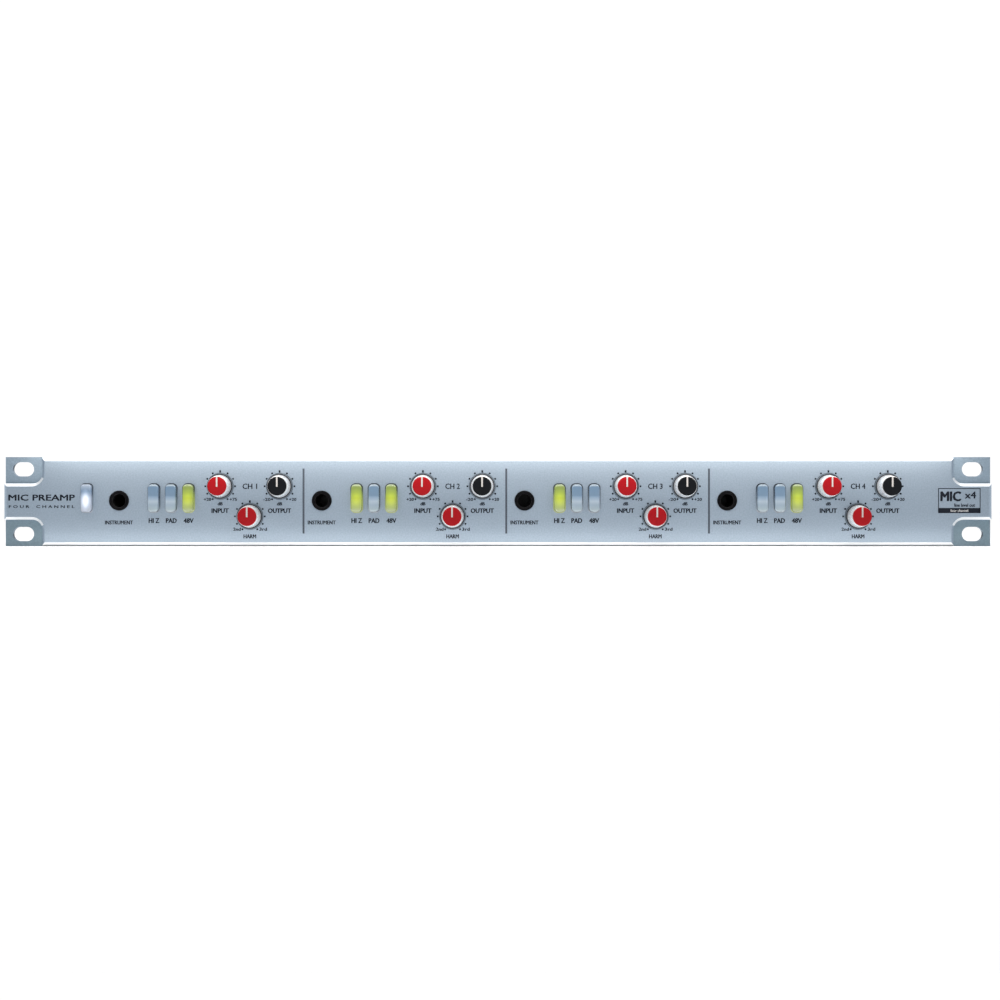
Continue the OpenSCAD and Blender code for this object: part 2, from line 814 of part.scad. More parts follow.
// The inlet's three blades, or with a gap the pockets that hold them
module plug_pins(gap) {
    back_y = inlet_face_y - inlet_body_l;
    for (s = [-1, 0, 1])
        box_y(
            inlet_x + s * plug_pin_dx, plug_z + (s == 0 ? plug_pin_dz : -plug_pin_dz),
            back_y - tail_l, inlet_face_y - 2, plug_pin_w + 2 * gap, plug_pin_h + 2 * gap
        );
}

module fuse_drawer() {
    y0 = inlet_face_y - drawer_l;
    trough_w = fuse_l + 2 * fixed_gap;
    color("black")
    difference() {
        union() {
            box_y(inlet_x, drawer_z, y0, inlet_face_y + 2 * sliding_gap, drawer_w, drawer_h);
            box_y(
                inlet_x, drawer_z, inlet_face_y + sliding_gap,
                inlet_face_y + sliding_gap + drawer_plate_t,
                drawer_w + 2 * drawer_plate_rim, drawer_h + 2 * drawer_plate_rim
            );
        }
        translate([inlet_x, y0 + 7, drawer_z + 0.6]) {
            translate([-trough_w / 2, 0, 0]) rotate([0, 90, 0])
                cylinder(h = trough_w, r = fuse_d / 2 + fixed_gap);
            translate([-trough_w / 2, -fuse_d / 2 - fixed_gap, 0])
                cube([trough_w, fuse_d + 2 * fixed_gap, drawer_h]);
        }
    }
    color("silver")
    translate([inlet_x - fuse_l / 2, y0 + 7, drawer_z + 0.6]) rotate([0, 90, 0])
        cylinder(h = fuse_l, r = fuse_d / 2);
}

module xlr_flange_and_barrel(x) {
    slab_y(x, 0, rear_y, xlr_face_y) rounded_rect(xlr_flange_w, xlr_flange_h, 3);
    rod_y(x, 0, xlr_back_y, xlr_face_y - EPS, xlr_barrel_d / 2);
}

module xlr_screw_holes(x) {
    for (s = [-1, 1])
        rod_y(x - s * xlr_screw_dx, s * xlr_screw_dz, rear_y - EPS, xlr_face_y + EPS, screw_hole_d / 2);
}

module xlr_shells() {
    floor_y = xlr_face_y - xlr_plug_depth;
    latch_end_y = xlr_face_y - latch_in - latch_travel - sliding_gap;
    color("silver")
    for (c = CHANNELS) {
        difference() {
            xlr_flange_and_barrel(xlr_input_x(c));
            xlr_screw_holes(xlr_input_x(c));
            rod_y(xlr_input_x(c), 0, floor_y, xlr_face_y + EPS, xlr_groove_d / 2);
            rod_y(xlr_input_x(c), 0, xlr_back_y - EPS, xlr_face_y, xlr_insert_d / 2 + fixed_gap);
            box_y(
                xlr_input_x(c), latch_z + latch_t / 2, latch_end_y, xlr_face_y + EPS,
                latch_w + 2 * sliding_gap, latch_t + 2 * fixed_gap
            );
        }
        difference() {
            xlr_flange_and_barrel(xlr_output_x(c));
            xlr_screw_holes(xlr_output_x(c));
            rod_y(xlr_output_x(c), 0, xlr_back_y - EPS, xlr_face_y + EPS, xlr_male_d / 2);
        }
    }
}

// Whatever is set on the three contact places of the connector at x
module at_contacts(x) {
    for (a = xlr_pin_angles)
        translate([x + xlr_pin_r * cos(a), 0, xlr_pin_r * sin(a)]) children();
}

module xlr_inserts() {
    pin_hole_r = xlr_pin_d / 2 + fixed_gap;
    color("black")
    for (c = CHANNELS) {
        difference() {
            rod_y(xlr_input_x(c), 0, xlr_back_y, xlr_face_y - 0.5, xlr_insert_d / 2);
            at_contacts(xlr_input_x(c))
                rod_y(0, 0, xlr_back_y - EPS, xlr_face_y + EPS, pin_hole_r);
        }
        difference() {
            rod_y(
                xlr_output_x(c), 0, xlr_back_y, xlr_face_y - xlr_plug_depth,
                xlr_male_d / 2 - fixed_gap
            );
            at_contacts(xlr_output_x(c))
                rod_y(0, 0, xlr_back_y - EPS, xlr_face_y, pin_hole_r);
        }
    }
}

module xlr_contacts() {
    socket_front_y = xlr_face_y - xlr_plug_depth + 2;
    color("gold")
    for (c = CHANNELS) {
        at_contacts(xlr_input_x(c))
            rod_y(0, 0, xlr_back_y - tail_l, socket_front_y, xlr_pin_d / 2);
        at_contacts(xlr_output_x(c))
            rod_y(0, 0, xlr_back_y - tail_l, xlr_face_y - 1.5, xlr_pin_d / 2);
    }
}

// A leg that runs into the shell, with a thumb tab bent up outside the flange
module xlr_latch(c) {
    tab_y = xlr_face_y + latch_travel + sliding_gap;
    color("silver") {
        box_y(
            xlr_input_x(c), latch_z + latch_t / 2, xlr_face_y - latch_in, tab_y + latch_tab_t,
            latch_w, latch_t
        );
        box_y(
            xlr_input_x(c), latch_z + latch_tab_h / 2, tab_y, tab_y + latch_tab_t,
            latch_tab_w, latch_tab_h
        );
    }
}

front_panel();
chassis_tray();
front_wall();
rear_panel();
top_cover();
m3_screws();
jack_sockets();
control_board();
potentiometers();
button_switches();
main_board();
board_components();
capacitors();
board_standoffs();
ribbon_cables();
mains_transformer();
mains_inlet();
fuse_drawer();
xlr_shells();
xlr_inserts();
xlr_contacts();
power_button();
for (c = CHANNELS) {
    knob(c, 0);
    knob(c, 1);
    knob(c, 2);
    knob_cap(c, 0, "crimson");
    knob_cap(c, 1, "crimson");
    knob_cap(c, 2, "black");
    channel_button(c, 0);
    channel_button(c, 1);
    channel_button(c, 2);
    xlr_latch(c);
}
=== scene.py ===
# %% [markdown]
# # A four-channel microphone preamp
# The real unit is a rack case one unit high: a thick satin aluminium panel in front, a folded
# steel case behind it, and sockets at the rear. The solid model gives every size and place.
# This script dresses that model: it softens edges, adds the printed legends and the small
# details of knobs, buttons and sockets, and gives each material its finish. The frame is loaded
# first, because every piece takes its place from it.

# %% Load the frame
import json
import math

import bmesh
import bpy
from mathutils import Matrix, Vector

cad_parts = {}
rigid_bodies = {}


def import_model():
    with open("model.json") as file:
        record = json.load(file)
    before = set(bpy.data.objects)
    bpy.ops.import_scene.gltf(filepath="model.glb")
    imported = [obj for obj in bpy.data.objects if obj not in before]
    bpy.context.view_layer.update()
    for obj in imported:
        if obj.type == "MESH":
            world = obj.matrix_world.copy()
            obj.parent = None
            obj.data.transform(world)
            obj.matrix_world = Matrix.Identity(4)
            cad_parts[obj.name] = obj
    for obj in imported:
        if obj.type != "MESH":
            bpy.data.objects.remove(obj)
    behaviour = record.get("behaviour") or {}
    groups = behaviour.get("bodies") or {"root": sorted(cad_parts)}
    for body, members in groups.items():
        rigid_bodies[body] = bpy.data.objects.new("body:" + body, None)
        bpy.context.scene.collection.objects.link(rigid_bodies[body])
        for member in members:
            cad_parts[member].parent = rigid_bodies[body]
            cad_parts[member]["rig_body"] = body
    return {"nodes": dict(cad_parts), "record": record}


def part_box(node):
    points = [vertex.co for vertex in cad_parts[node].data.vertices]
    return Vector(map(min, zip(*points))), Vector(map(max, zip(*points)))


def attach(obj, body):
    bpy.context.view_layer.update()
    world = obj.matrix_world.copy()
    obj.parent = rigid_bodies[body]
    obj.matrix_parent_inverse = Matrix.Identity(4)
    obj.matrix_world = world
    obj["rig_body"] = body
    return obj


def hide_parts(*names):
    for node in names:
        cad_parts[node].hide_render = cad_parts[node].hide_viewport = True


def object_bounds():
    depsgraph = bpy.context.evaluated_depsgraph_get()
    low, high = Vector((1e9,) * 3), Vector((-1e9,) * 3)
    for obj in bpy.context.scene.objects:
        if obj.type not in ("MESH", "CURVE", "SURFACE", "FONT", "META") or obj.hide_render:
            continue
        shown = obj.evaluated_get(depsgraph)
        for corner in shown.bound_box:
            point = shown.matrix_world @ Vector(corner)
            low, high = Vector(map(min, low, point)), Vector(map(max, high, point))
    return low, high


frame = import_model()
cad_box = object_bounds()
MM = 0.001
CHANNELS = (1, 2, 3, 4)

# %% [markdown]
# The camera looks straight at the middle of the panel from about a metre away. It could stand
# further off with a longer lens, but a metre is what shows the sides of the outer knobs and
# buttons as much as they should show. It stands a millimetre to the right of the middle and a
# little above it, and stays level, so that upright edges stay upright.

# %% Camera
panel_low, panel_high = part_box("front_panel")
FACE_Y = panel_low.y
CAMERA_DISTANCE = 1.02
CAMERA_RIGHT = 1.0 * MM
CAMERA_UP = 0.8 * MM

camera_data = bpy.data.cameras.new("camera")
camera_data.sensor_width = 36.0
camera_data.lens = 75.2
camera = bpy.data.objects.new("camera", camera_data)
camera.location = (CAMERA_RIGHT, FACE_Y - CAMERA_DISTANCE, CAMERA_UP)
camera.rotation_euler = (math.radians(90), 0, 0)
bpy.context.scene.collection.objects.link(camera)
bpy.context.scene.camera = camera
print("camera", [round(v, 4) for v in camera.location])

# %% [markdown]
# Satin aluminium shows what is around it, softly blurred. A room that is white above and behind
# and darker in front gives a panel that is bright at its edges and deeper in its middle. The
# room is a world whose brightness follows the direction: this keeps the background white and
# still lets the metal have some depth. Two long strip lights close to the panel, one above and
# one below, add the soft gradient that a studio's reflectors give. They are hidden from the
# camera.

# %% Room and lights
ROOM_FRONT = 0.3
ROOM_BACK = 1.05
FLOOR_Z = cad_box[0][2]


def make_world():
    world = bpy.data.worlds.new("studio")
    world.use_nodes = True
    nodes, links = world.node_tree.nodes, world.node_tree.links
    background = nodes["Background"]
    place = nodes.new("ShaderNodeTexCoord")
    split = nodes.new("ShaderNodeSeparateXYZ")
    level = nodes.new("ShaderNodeMapRange")
    level.inputs["From Min"].default_value = -0.6
    level.inputs["From Max"].default_value = 0.1
    level.inputs["To Min"].default_value = ROOM_FRONT
    level.inputs["To Max"].default_value = ROOM_BACK
    links.new(place.outputs["Generated"], split.inputs[0])
    links.new(split.outputs["Y"], level.inputs["Value"])
    links.new(level.outputs[0], background.inputs["Strength"])
    background.inputs["Color"].default_value = (1.0, 1.0, 1.0, 1.0)
    bpy.context.scene.world = world


def add_strip(name, place, aim, size, power, color=(1.0, 1.0, 1.0)):
    """A rectangular light at a place, turned to face another point, unseen by the camera."""
    data = bpy.data.lights.new(name, "AREA")
    data.shape = "RECTANGLE"
    data.size, data.size_y = size
    data.energy = power
    data.color = color
    light = bpy.data.objects.new(name, data)
    light.location = place
    light.rotation_euler = (Vector(aim) - Vector(place)).to_track_quat("-Z", "Y").to_euler()
    light.visible_camera = False
    bpy.context.scene.collection.objects.link(light)


STRIP_LENGTH = 0.46
UPPER_PLACE, UPPER_AIM = (0, FACE_Y - 0.029, 0.033), (0, FACE_Y, 0.014)
LOWER_PLACE, LOWER_AIM = (0, FACE_Y - 0.016, FLOOR_Z + 0.0025), (0, FACE_Y, -0.0175)
make_world()
add_strip("upper_strip", UPPER_PLACE, UPPER_AIM, (STRIP_LENGTH, 0.01), 0.12, (1.0, 0.93, 0.85))
add_strip("lower_strip", LOWER_PLACE, LOWER_AIM, (STRIP_LENGTH, 0.004), 0.009, (1.0, 0.95, 0.88))
add_strip("overhead", (0, -0.03, 0.35), (0, -0.03, 0), (0.8, 0.3), 0.9)
bpy.context.scene.view_settings.view_transform = "Standard"

# %% [markdown]
# The unit stands on a pale table. A plain plane is enough, because only its colour and the soft
# contact shadow matter. It lies exactly at the lowest point of the model.

# %% Table
def as_object(name, bm):
    """Turns a bmesh into an object of the scene."""
    mesh = bpy.data.meshes.new(name)
    bm.to_mesh(mesh)
    bm.free()
    thing = bpy.data.objects.new(name, mesh)
    bpy.context.scene.collection.objects.link(thing)
    return thing


def make_table():
    bm = bmesh.new()
    bmesh.ops.create_grid(bm, x_segments=1, y_segments=1, size=4.0)
    bmesh.ops.translate(bm, verts=bm.verts, vec=(0, 0, FLOOR_Z))
    table = as_object("table", bm)
    paint = bpy.data.materials.new("table_paint")
    paint.use_nodes = True
    shader = paint.node_tree.nodes["Principled BSDF"]
    shader.inputs["Base Color"].default_value = (0.93, 0.93, 0.93, 1)
    shader.inputs["Roughness"].default_value = 0.9
    shader.inputs["Emission Color"].default_value = (1, 1, 1, 1)
    shader.inputs["Emission Strength"].default_value = 0.25
    table.data.materials.append(paint)


make_table()
print("table at", round(FLOOR_Z / MM, 2), "mm")

# %% [markdown]
# Most finishes here are a base colour with a grain. One recipe makes them: a noise gives the
# colour a slight mottle, a finer noise tilts the surface a little, and the same noise makes some
# spots duller than others. Patterns are laid in object coordinates, which are metres here, so a
# grain's size is its real size. What is the same all over is set on the shader itself.

# %% Recipe for a grained surface
def grained(name, color, metallic, roughness, grain_mm, bump_mm, mottle=0.06, stretch=(1, 1, 1)):
    """A material with a noise grain of the given size. Returns the material and its shader."""
    material = bpy.data.materials.new(name)
    material.use_nodes = True
    nodes, links = material.node_tree.nodes, material.node_tree.links
    shader = nodes["Principled BSDF"]
    shader.inputs["Metallic"].default_value = metallic
    place = nodes.new("ShaderNodeTexCoord")
    mapping = nodes.new("ShaderNodeMapping")
    mapping.inputs["Scale"].default_value = stretch
    grain = nodes.new("ShaderNodeTexNoise")
    grain.inputs["Scale"].default_value = 1.0 / (grain_mm * MM)
    grain.inputs["Detail"].default_value = 3.0
    links.new(place.outputs["Object"], mapping.inputs["Vector"])
    links.new(mapping.outputs["Vector"], grain.inputs["Vector"])

    tone = nodes.new("ShaderNodeValToRGB")
    low = [max(0.0, c * (1 - mottle)) for c in color]
    high = [min(1.0, c * (1 + mottle)) for c in color]
    tone.color_ramp.elements[0].position = 0.3
    tone.color_ramp.elements[1].position = 0.7
    tone.color_ramp.elements[0].color = (*low, 1)
    tone.color_ramp.elements[1].color = (*high, 1)
    links.new(grain.outputs["Fac"], tone.inputs["Fac"])
    links.new(tone.outputs["Color"], shader.inputs["Base Color"])

    dull = nodes.new("ShaderNodeMapRange")
    dull.inputs["To Min"].default_value = max(0.02, roughness - 0.06)
    dull.inputs["To Max"].default_value = min(1.0, roughness + 0.06)
    links.new(grain.outputs["Fac"], dull.inputs["Value"])
    links.new(dull.outputs[0], shader.inputs["Roughness"])

    bump = nodes.new("ShaderNodeBump")
    bump.inputs["Distance"].default_value = bump_mm * MM
    bump.inputs["Strength"].default_value = 0.6
    links.new(grain.outputs["Fac"], bump.inputs["Height"])
    links.new(bump.outputs["Normal"], shader.inputs["Normal"])
    return material, shader


# %% [markdown]
# The panel is bead-blasted and anodised, which gives a fine sparkle and a cool silver-blue
# colour. Its tint sits in the metal's reflection, so it is a metallic surface and not a paint.
# The recess floors are painted shade: a darker metal in the two upper recesses, and a deeper
# one still in the two lower ones, which sit close to the table.
# Printed legends are a thin layer of dark ink, almost matt.

# %% Panel finish and ink
panel_metal, _ = grained("panel_metal", (0.345, 0.423, 0.512), 1.0, 0.44, 0.7, 0.012, 0.09)
# Painted shade: the upper recesses get a darker metal than the face.
upper_recess_painted_shade, _ = grained("upper_recess_painted_shade", (0.32, 0.41, 0.5), 1.0, 0.5, 0.7, 0.012, 0.09)
# Painted shade: the lower recesses, near the table, are darker still.
lower_recess_shade, _ = grained("lower_recess_painted_shade_metal", (0.24, 0.325, 0.385), 1.0, 0.5, 0.7, 0.012, 0.09)
# Painted highlight: the slanted bevels get this bright metal in place of the panel's.
bevel_highlight_metal, _ = grained("bevel_painted_highlight", (0.9, 0.93, 0.96), 1.0, 0.3, 0.5, 0.004, 0.03)
ink, ink_shader = grained("legend_ink", (0.008, 0.011, 0.018), 0.0, 0.6, 0.15, 0.002, 0.2)
ink_shader.inputs["Specular IOR Level"].default_value = 0.12
white_ink, _ = grained("rear_legend_ink", (0.75, 0.76, 0.77), 0.0, 0.6, 0.15, 0.002, 0.05)

# %% [markdown]
# Knob bodies are turned aluminium with a pale satin finish. The skirt at the foot is dark as a
# painted shadow round the knob's base. Caps are moulded plastic, red or black, with a faint mould
# texture and little gloss. The pointer is a white inlay.

# %% Knob finishes
knob_metal, _ = grained("knob_metal", (0.8, 0.82, 0.84), 0.5, 0.28, 0.25, 0.001, 0.03)
foot_shadow_metal, _ = grained("knob_foot_painted_shadow", (0.03, 0.035, 0.045), 0.3, 0.5, 0.25, 0.004, 0.1)
red_plastic, red_shader = grained("red_cap_plastic", (0.3, 0.005, 0.009), 0.0, 0.4, 0.2, 0.004)
black_plastic, black_shader = grained("black_cap_plastic", (0.004, 0.005, 0.007), 0.0, 0.4, 0.2, 0.004)
white_inlay, _ = grained("white_inlay", (0.5, 0.49, 0.48), 0.0, 0.5, 0.2, 0.002, 0.03)
for shader in (red_shader, black_shader):
    shader.inputs["Specular IOR Level"].default_value = 0.12

# %% [markdown]
# The case is folded steel with a fine black powder coat, and the rear sockets have satin nickel
# shells, black plastic inserts and gold-plated contacts. Screws are zinc plated. The parts
# inside show only through the vents, but each gets its own finish too.

# %% Case and connector finishes
powder_coat, _ = grained("case_powder_coat", (0.03, 0.031, 0.034), 0.0, 0.55, 0.5, 0.03, 0.25)
nickel, _ = grained("satin_nickel", (0.58, 0.57, 0.55), 1.0, 0.3, 0.3, 0.003, 0.05)
zinc, _ = grained("zinc_plate", (0.55, 0.56, 0.58), 1.0, 0.34, 0.2, 0.004, 0.08)
gold, _ = grained("gold_plate", (0.85, 0.62, 0.26), 1.0, 0.24, 0.2, 0.001, 0.04)
socket_plastic, _ = grained("socket_plastic", (0.014, 0.014, 0.016), 0.0, 0.42, 0.3, 0.01, 0.2)
ring_plastic, ring_shader = grained(
    "jack_ring_plastic", (0.003, 0.003, 0.004), 0.0, 0.35, 0.3, 0.004, 0.2
)
ring_shader.inputs["Specular IOR Level"].default_value = 0.05
brass, _ = grained("brass_standoff", (0.72, 0.5, 0.2), 1.0, 0.3, 0.3, 0.003, 0.08)

# %% [markdown]
# A folded or moulded part never has knife edges. The solid model's own meshes are loose
# triangles, so a copy of each is welded, its flat faces are merged, and a small bevel rounds
# every sharp edge. That keeps each size exact and catches the light as a real edge does. The
# copy then stands for the part it was made from.

# %% Shared helpers for pieces
def finish_mesh(name, bm, angle=35):
    """Turns a bmesh into an object with smooth faces and sharp edges past an angle."""
    piece = as_object(name, bm)
    for face in piece.data.polygons:
        face.use_smooth = True
    piece.data.set_sharp_from_angle(angle=math.radians(angle))
    return piece


def add_box(bm, size, at):
    made = bmesh.ops.create_cube(bm, size=1)["verts"]
    bmesh.ops.scale(bm, verts=made, vec=size)
    bmesh.ops.translate(bm, verts=made, vec=at)
    return made


def dress(piece, body, materials, replaces=()):
    """Gives a piece its materials and its body, and hides what it stands for."""
    for material in materials:
        piece.data.materials.append(material)
    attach(piece, body)
    if replaces:
        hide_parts(*replaces)


def round_edges(piece, width_mm, segments=2, angle=30):
    bevel = piece.modifiers.new("edges", "BEVEL")
    bevel.width = width_mm * MM
    bevel.segments = segments
    bevel.limit_method = "ANGLE"
    bevel.angle_limit = math.radians(angle)
    bevel.harden_normals = False


def islands(bm):
    """The separate shells of a bmesh, each a list of faces."""
    left, shells = set(bm.faces), []
    while left:
        queue = [left.pop()]
        shell = list(queue)
        while queue:
            for edge in queue.pop().edges:
                for other in edge.link_faces:
                    if other in left:
                        left.remove(other)
                        queue.append(other)
                        shell.append(other)
        shells.append(shell)
    return shells


def box_of(faces):
    points = [v.co for face in faces for v in face.verts]
    low = Vector([min(p[i] for p in points) for i in range(3)])
    high = Vector([max(p[i] for p in points) for i in range(3)])
    return low, high


def softened(node, width_mm, materials, pick=None, segments=2):
    """A welded copy of a CAD node with rounded edges. pick(low, high) gives a shell's material."""
    bm = bmesh.new()
    bm.from_mesh(frame["nodes"][node].data)
    bmesh.ops.remove_doubles(bm, verts=bm.verts, dist=0.002 * MM)
    bmesh.ops.dissolve_limit(
        bm, angle_limit=math.radians(0.5), verts=bm.verts, edges=bm.edges, use_dissolve_boundaries=False
    )
    for shell in islands(bm) if pick else [bm.faces]:
        index = pick(*box_of(shell)) if pick else 0
        for face in shell:
            face.material_index = index
    piece = finish_mesh(node + "_finished", bm, angle=30)
    dress(piece, frame["nodes"][node]["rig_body"], materials, (node,))
    round_edges(piece, width_mm, segments)


# %% [markdown]
# The case itself: the tray, the walls at its ends, its cover and the screws. The bends of the
# sheet get a radius of nearly half a millimetre, the cut edges and the screws much less.

# %% Case, cover and screws
CASE_EDGES = {"chassis_tray": 0.4, "front_wall": 0.2, "rear_panel": 0.2, "top_cover": 0.4}
for node, width_mm in CASE_EDGES.items():
    softened(node, width_mm, [powder_coat])
softened("m3_screws", 0.15, [zinc], segments=1)
print("case, cover and screws softened")

# %% [markdown]
# The rear sockets. A shell is die cast, so its edges are rounder. Inserts and contacts keep
# small edges. The inlet and its drawer hold metal pieces too, which are told apart by size: the
# blades are narrow across, and the fuse is slim from front to back.

# %% Rear sockets
softened("xlr_shells", 0.35, [nickel])
softened("xlr_inserts", 0.2, [socket_plastic])
softened("xlr_contacts", 0.4, [gold], segments=3)
for channel in CHANNELS:
    softened(f"xlr_latch_{channel}", 0.2, [nickel])
BLADE_LIMIT, FUSE_LIMIT = 5 * MM, 6 * MM
softened(
    "mains_inlet", 0.3, [socket_plastic, zinc],
    pick=lambda low, high: int(high.x - low.x < BLADE_LIMIT),
)
softened(
    "fuse_drawer", 0.25, [socket_plastic, nickel],
    pick=lambda low, high: int(high.y - low.y < FUSE_LIMIT),
)
print("rear sockets softened")

# %% [markdown]
# Circuit boards have a green solder mask over copper tracks, which show as a faintly lighter
# pattern. A stretched brick pattern reads as rows of tracks and pads at this size.

# %% Inside parts
def make_board_mask():
    material, shader = grained("solder_mask", (0.012, 0.11, 0.045), 0.0, 0.3, 1.2, 0.01, 0.2)
    nodes, links = material.node_tree.nodes, material.node_tree.links
    place = nodes.new("ShaderNodeTexCoord")
    tracks = nodes.new("ShaderNodeTexBrick")
    tracks.inputs["Scale"].default_value = 130.0
    tracks.inputs["Mortar Size"].default_value = 0.035
    tracks.inputs["Color1"].default_value = (0.012, 0.1, 0.042, 1)
    tracks.inputs["Color2"].default_value = (0.014, 0.12, 0.05, 1)
    tracks.inputs["Mortar"].default_value = (0.035, 0.2, 0.09, 1)
    links.new(place.outputs["Object"], tracks.inputs["Vector"])
    links.new(tracks.outputs["Color"], shader.inputs["Base Color"])
    return material


board_mask = make_board_mask()
chip_plastic, _ = grained("chip_plastic", (0.02, 0.02, 0.022), 0.0, 0.5, 0.3, 0.01, 0.2)
relay_plastic, _ = grained("relay_plastic", (0.03, 0.09, 0.3), 0.0, 0.35, 0.5, 0.005, 0.1)
sleeve_plastic, _ = grained("capacitor_sleeve", (0.015, 0.02, 0.08), 0.0, 0.25, 0.6, 0.004, 0.15)
switch_plastic, _ = grained("switch_plastic", (0.6, 0.57, 0.48), 0.0, 0.45, 0.4, 0.006, 0.06)
pot_plastic, _ = grained("potentiometer_plastic", (0.05, 0.13, 0.32), 0.0, 0.4, 0.4, 0.006, 0.1)
cable_plastic, _ = grained(
    "cable_plastic", (0.42, 0.42, 0.43), 0.0, 0.5, 0.3, 0.005, 0.1, (1, 0.05, 0.05)
)
winding, _ = grained("wound_copper", (0.62, 0.3, 0.1), 0.6, 0.35, 0.8, 0.1, 0.3, (1, 1, 0.1))


HEAT_SINK_H, RELAY_L = 20 * MM, 20 * MM


def component_kind(low, high):
    """Relays are 20 mm long, the tall plate is the heat sink, and all the rest is chips."""
    size = high - low
    if size.z > HEAT_SINK_H:
        return 2
    return 1 if abs(size.x - RELAY_L) < 0.5 * MM else 0


softened("board_components", 0.2, [chip_plastic, relay_plastic, zinc], component_kind)
for node, material in (
    ("control_board", board_mask), ("main_board", board_mask), ("capacitors", sleeve_plastic),
    ("button_switches", switch_plastic), ("potentiometers", pot_plastic),
    ("board_standoffs", brass), ("ribbon_cables", cable_plastic), ("mains_transformer", winding),
):
    data = frame["nodes"][node].data
    data.materials.clear()
    data.materials.append(material)
print("inside parts finished")

# %% [markdown]
# ## The front panel
# The real panel is cut from thick plate. Its middle stands proud of the rack ears, with a bevel
# all round the raised part, and small recesses at the corners take the heads of the rack screws.
# It could be one solid with everything cut by booleans. Here the raised part starts as a flat
# outline, because the rounded inner corners and the bevel are then two plain operators. Only the
# ears and the openings are booleans, which is what they are for.

# %% Outline of the raised part
RECESS_W = 18.6 * MM
BRIDGE_H = 17.6 * MM
RECESS_R = 5.0 * MM
EAR_T = 3.0 * MM


def raised_outline(bm):
    """One flat face with a notch at each corner. Its inner corners are rounded."""
    end, top = panel_high.x, panel_high.z
    inner, bridge = end - RECESS_W, BRIDGE_H / 2
    quarter = [(inner, top), (inner, bridge), (end, bridge)]
    around = list(quarter)
    around += [(x, -z) for x, z in reversed(quarter)]
    around += [(-x, -z) for x, z in quarter]
    around += [(-x, z) for x, z in reversed(quarter)]
    verts = [bm.verts.new((x, 0, z)) for x, z in around]
    bm.faces.new(verts)
    inner_corners = [v for v in verts if abs(abs(v.co.x) - inner) < 1e-6 and abs(v.co.z) < top - 1e-6]
    bmesh.ops.bevel(
        bm, geom=inner_corners, affect="VERTICES", offset=RECESS_R, offset_type="OFFSET",
        segments=8, profile=0.5, material=-1,
    )


bm = bmesh.new()
raised_outline(bm)
print("outline corners:", len(bm.verts))
bm.free()

# %% [markdown]
# The outline is pulled forward into a block, and the edges round its front face are bevelled.
# The bevel along the top and bottom is wider than the one in the recesses, so a slanted cut along
# each long edge makes it, and the cut is closed again with a face.

# %% Raised block
RECESS_BEVEL = 1.3 * MM
LONG_BEVEL = 2.0 * MM


def front_edges(bm, y):
    """Edges that lie in the plane y and touch a face that leaves it."""
    return [
        e for e in bm.edges
        if all(abs(v.co.y - y) < 1e-6 for v in e.verts)
        and any(abs(f.normal.y) < 0.5 for f in e.link_faces)
    ]


def cut_slant(bm, sign):
    """Cuts the long front edge above or below at 45 degrees."""
    point = (0, FACE_Y + LONG_BEVEL, sign * panel_high.z)
    normal = Vector((0, -1, sign)).normalized()
    cut = bmesh.ops.bisect_plane(
        bm, geom=bm.verts[:] + bm.edges[:] + bm.faces[:], dist=1e-7,
        plane_co=point, plane_no=normal, clear_outer=True,
    )
    rim = [g for g in cut["geom_cut"] if isinstance(g, bmesh.types.BMEdge)]
    bmesh.ops.holes_fill(bm, edges=rim, sides=0)


def raised_block():
    bm = bmesh.new()
    raised_outline(bm)
    pulled = bmesh.ops.extrude_face_region(bm, geom=bm.faces[:])
    front = [g for g in pulled["geom"] if isinstance(g, bmesh.types.BMVert)]
    bmesh.ops.translate(bm, verts=front, vec=(0, FACE_Y, 0))
    bmesh.ops.recalc_face_normals(bm, faces=bm.faces)
    bmesh.ops.bevel(
        bm, geom=front_edges(bm, FACE_Y), affect="EDGES", offset=RECESS_BEVEL,
        segments=1, profile=0.5, material=-1,
    )
    for sign in (1, -1):
        cut_slant(bm, sign)
    bmesh.ops.recalc_face_normals(bm, faces=bm.faces)
    return bm


bm = raised_block()
print("raised block:", len(bm.faces), "faces, open edges:", sum(e.is_boundary for e in bm.edges))
bm.free()

# %% [markdown]
# Every opening gets a cutter a little longer than the panel is thick. A rounded bar comes from a
# circle whose quarters are drawn apart, so it serves the rack slots, the buttons and the round
# holes alike. All cutters go into one mesh, so the panel is cut once.

# %% Shapes for openings and buttons
def ring_of(bm, radius, segments):
    """A filled circle in the plane of the panel, with no corner on its middle lines."""
    made = bmesh.ops.create_circle(bm, cap_ends=True, radius=radius, segments=segments)
    turn = Matrix.Rotation(math.radians(90), 3, "X") @ Matrix.Rotation(math.pi / segments, 3, "Z")
    bmesh.ops.rotate(bm, verts=made["verts"], cent=(0, 0, 0), matrix=turn)
    return made["verts"]


def rounded_face(bm, width, height, radius=None, segments=40):
    """A filled outline with round corners, as wide and high as told, round the origin."""
    radius = min(width, height) / 2 if radius is None else radius
    verts = ring_of(bm, radius, segments)
    for vert in verts:
        vert.co.x += math.copysign(width / 2 - radius, vert.co.x)
        vert.co.z += math.copysign(height / 2 - radius, vert.co.z)
    bmesh.ops.remove_doubles(bm, verts=verts, dist=1e-7)
    return [v for v in verts if v.is_valid]


def pull(bm, verts, depth):
    """Extrudes the one face that has these corners along Y, and returns the new corners."""
    face = next(f for f in bm.faces if set(f.verts) == set(verts))
    made = bmesh.ops.extrude_face_region(bm, geom=[face])["geom"]
    new = [g for g in made if isinstance(g, bmesh.types.BMVert)]
    bmesh.ops.translate(bm, verts=new, vec=(0, depth, 0))
    return new


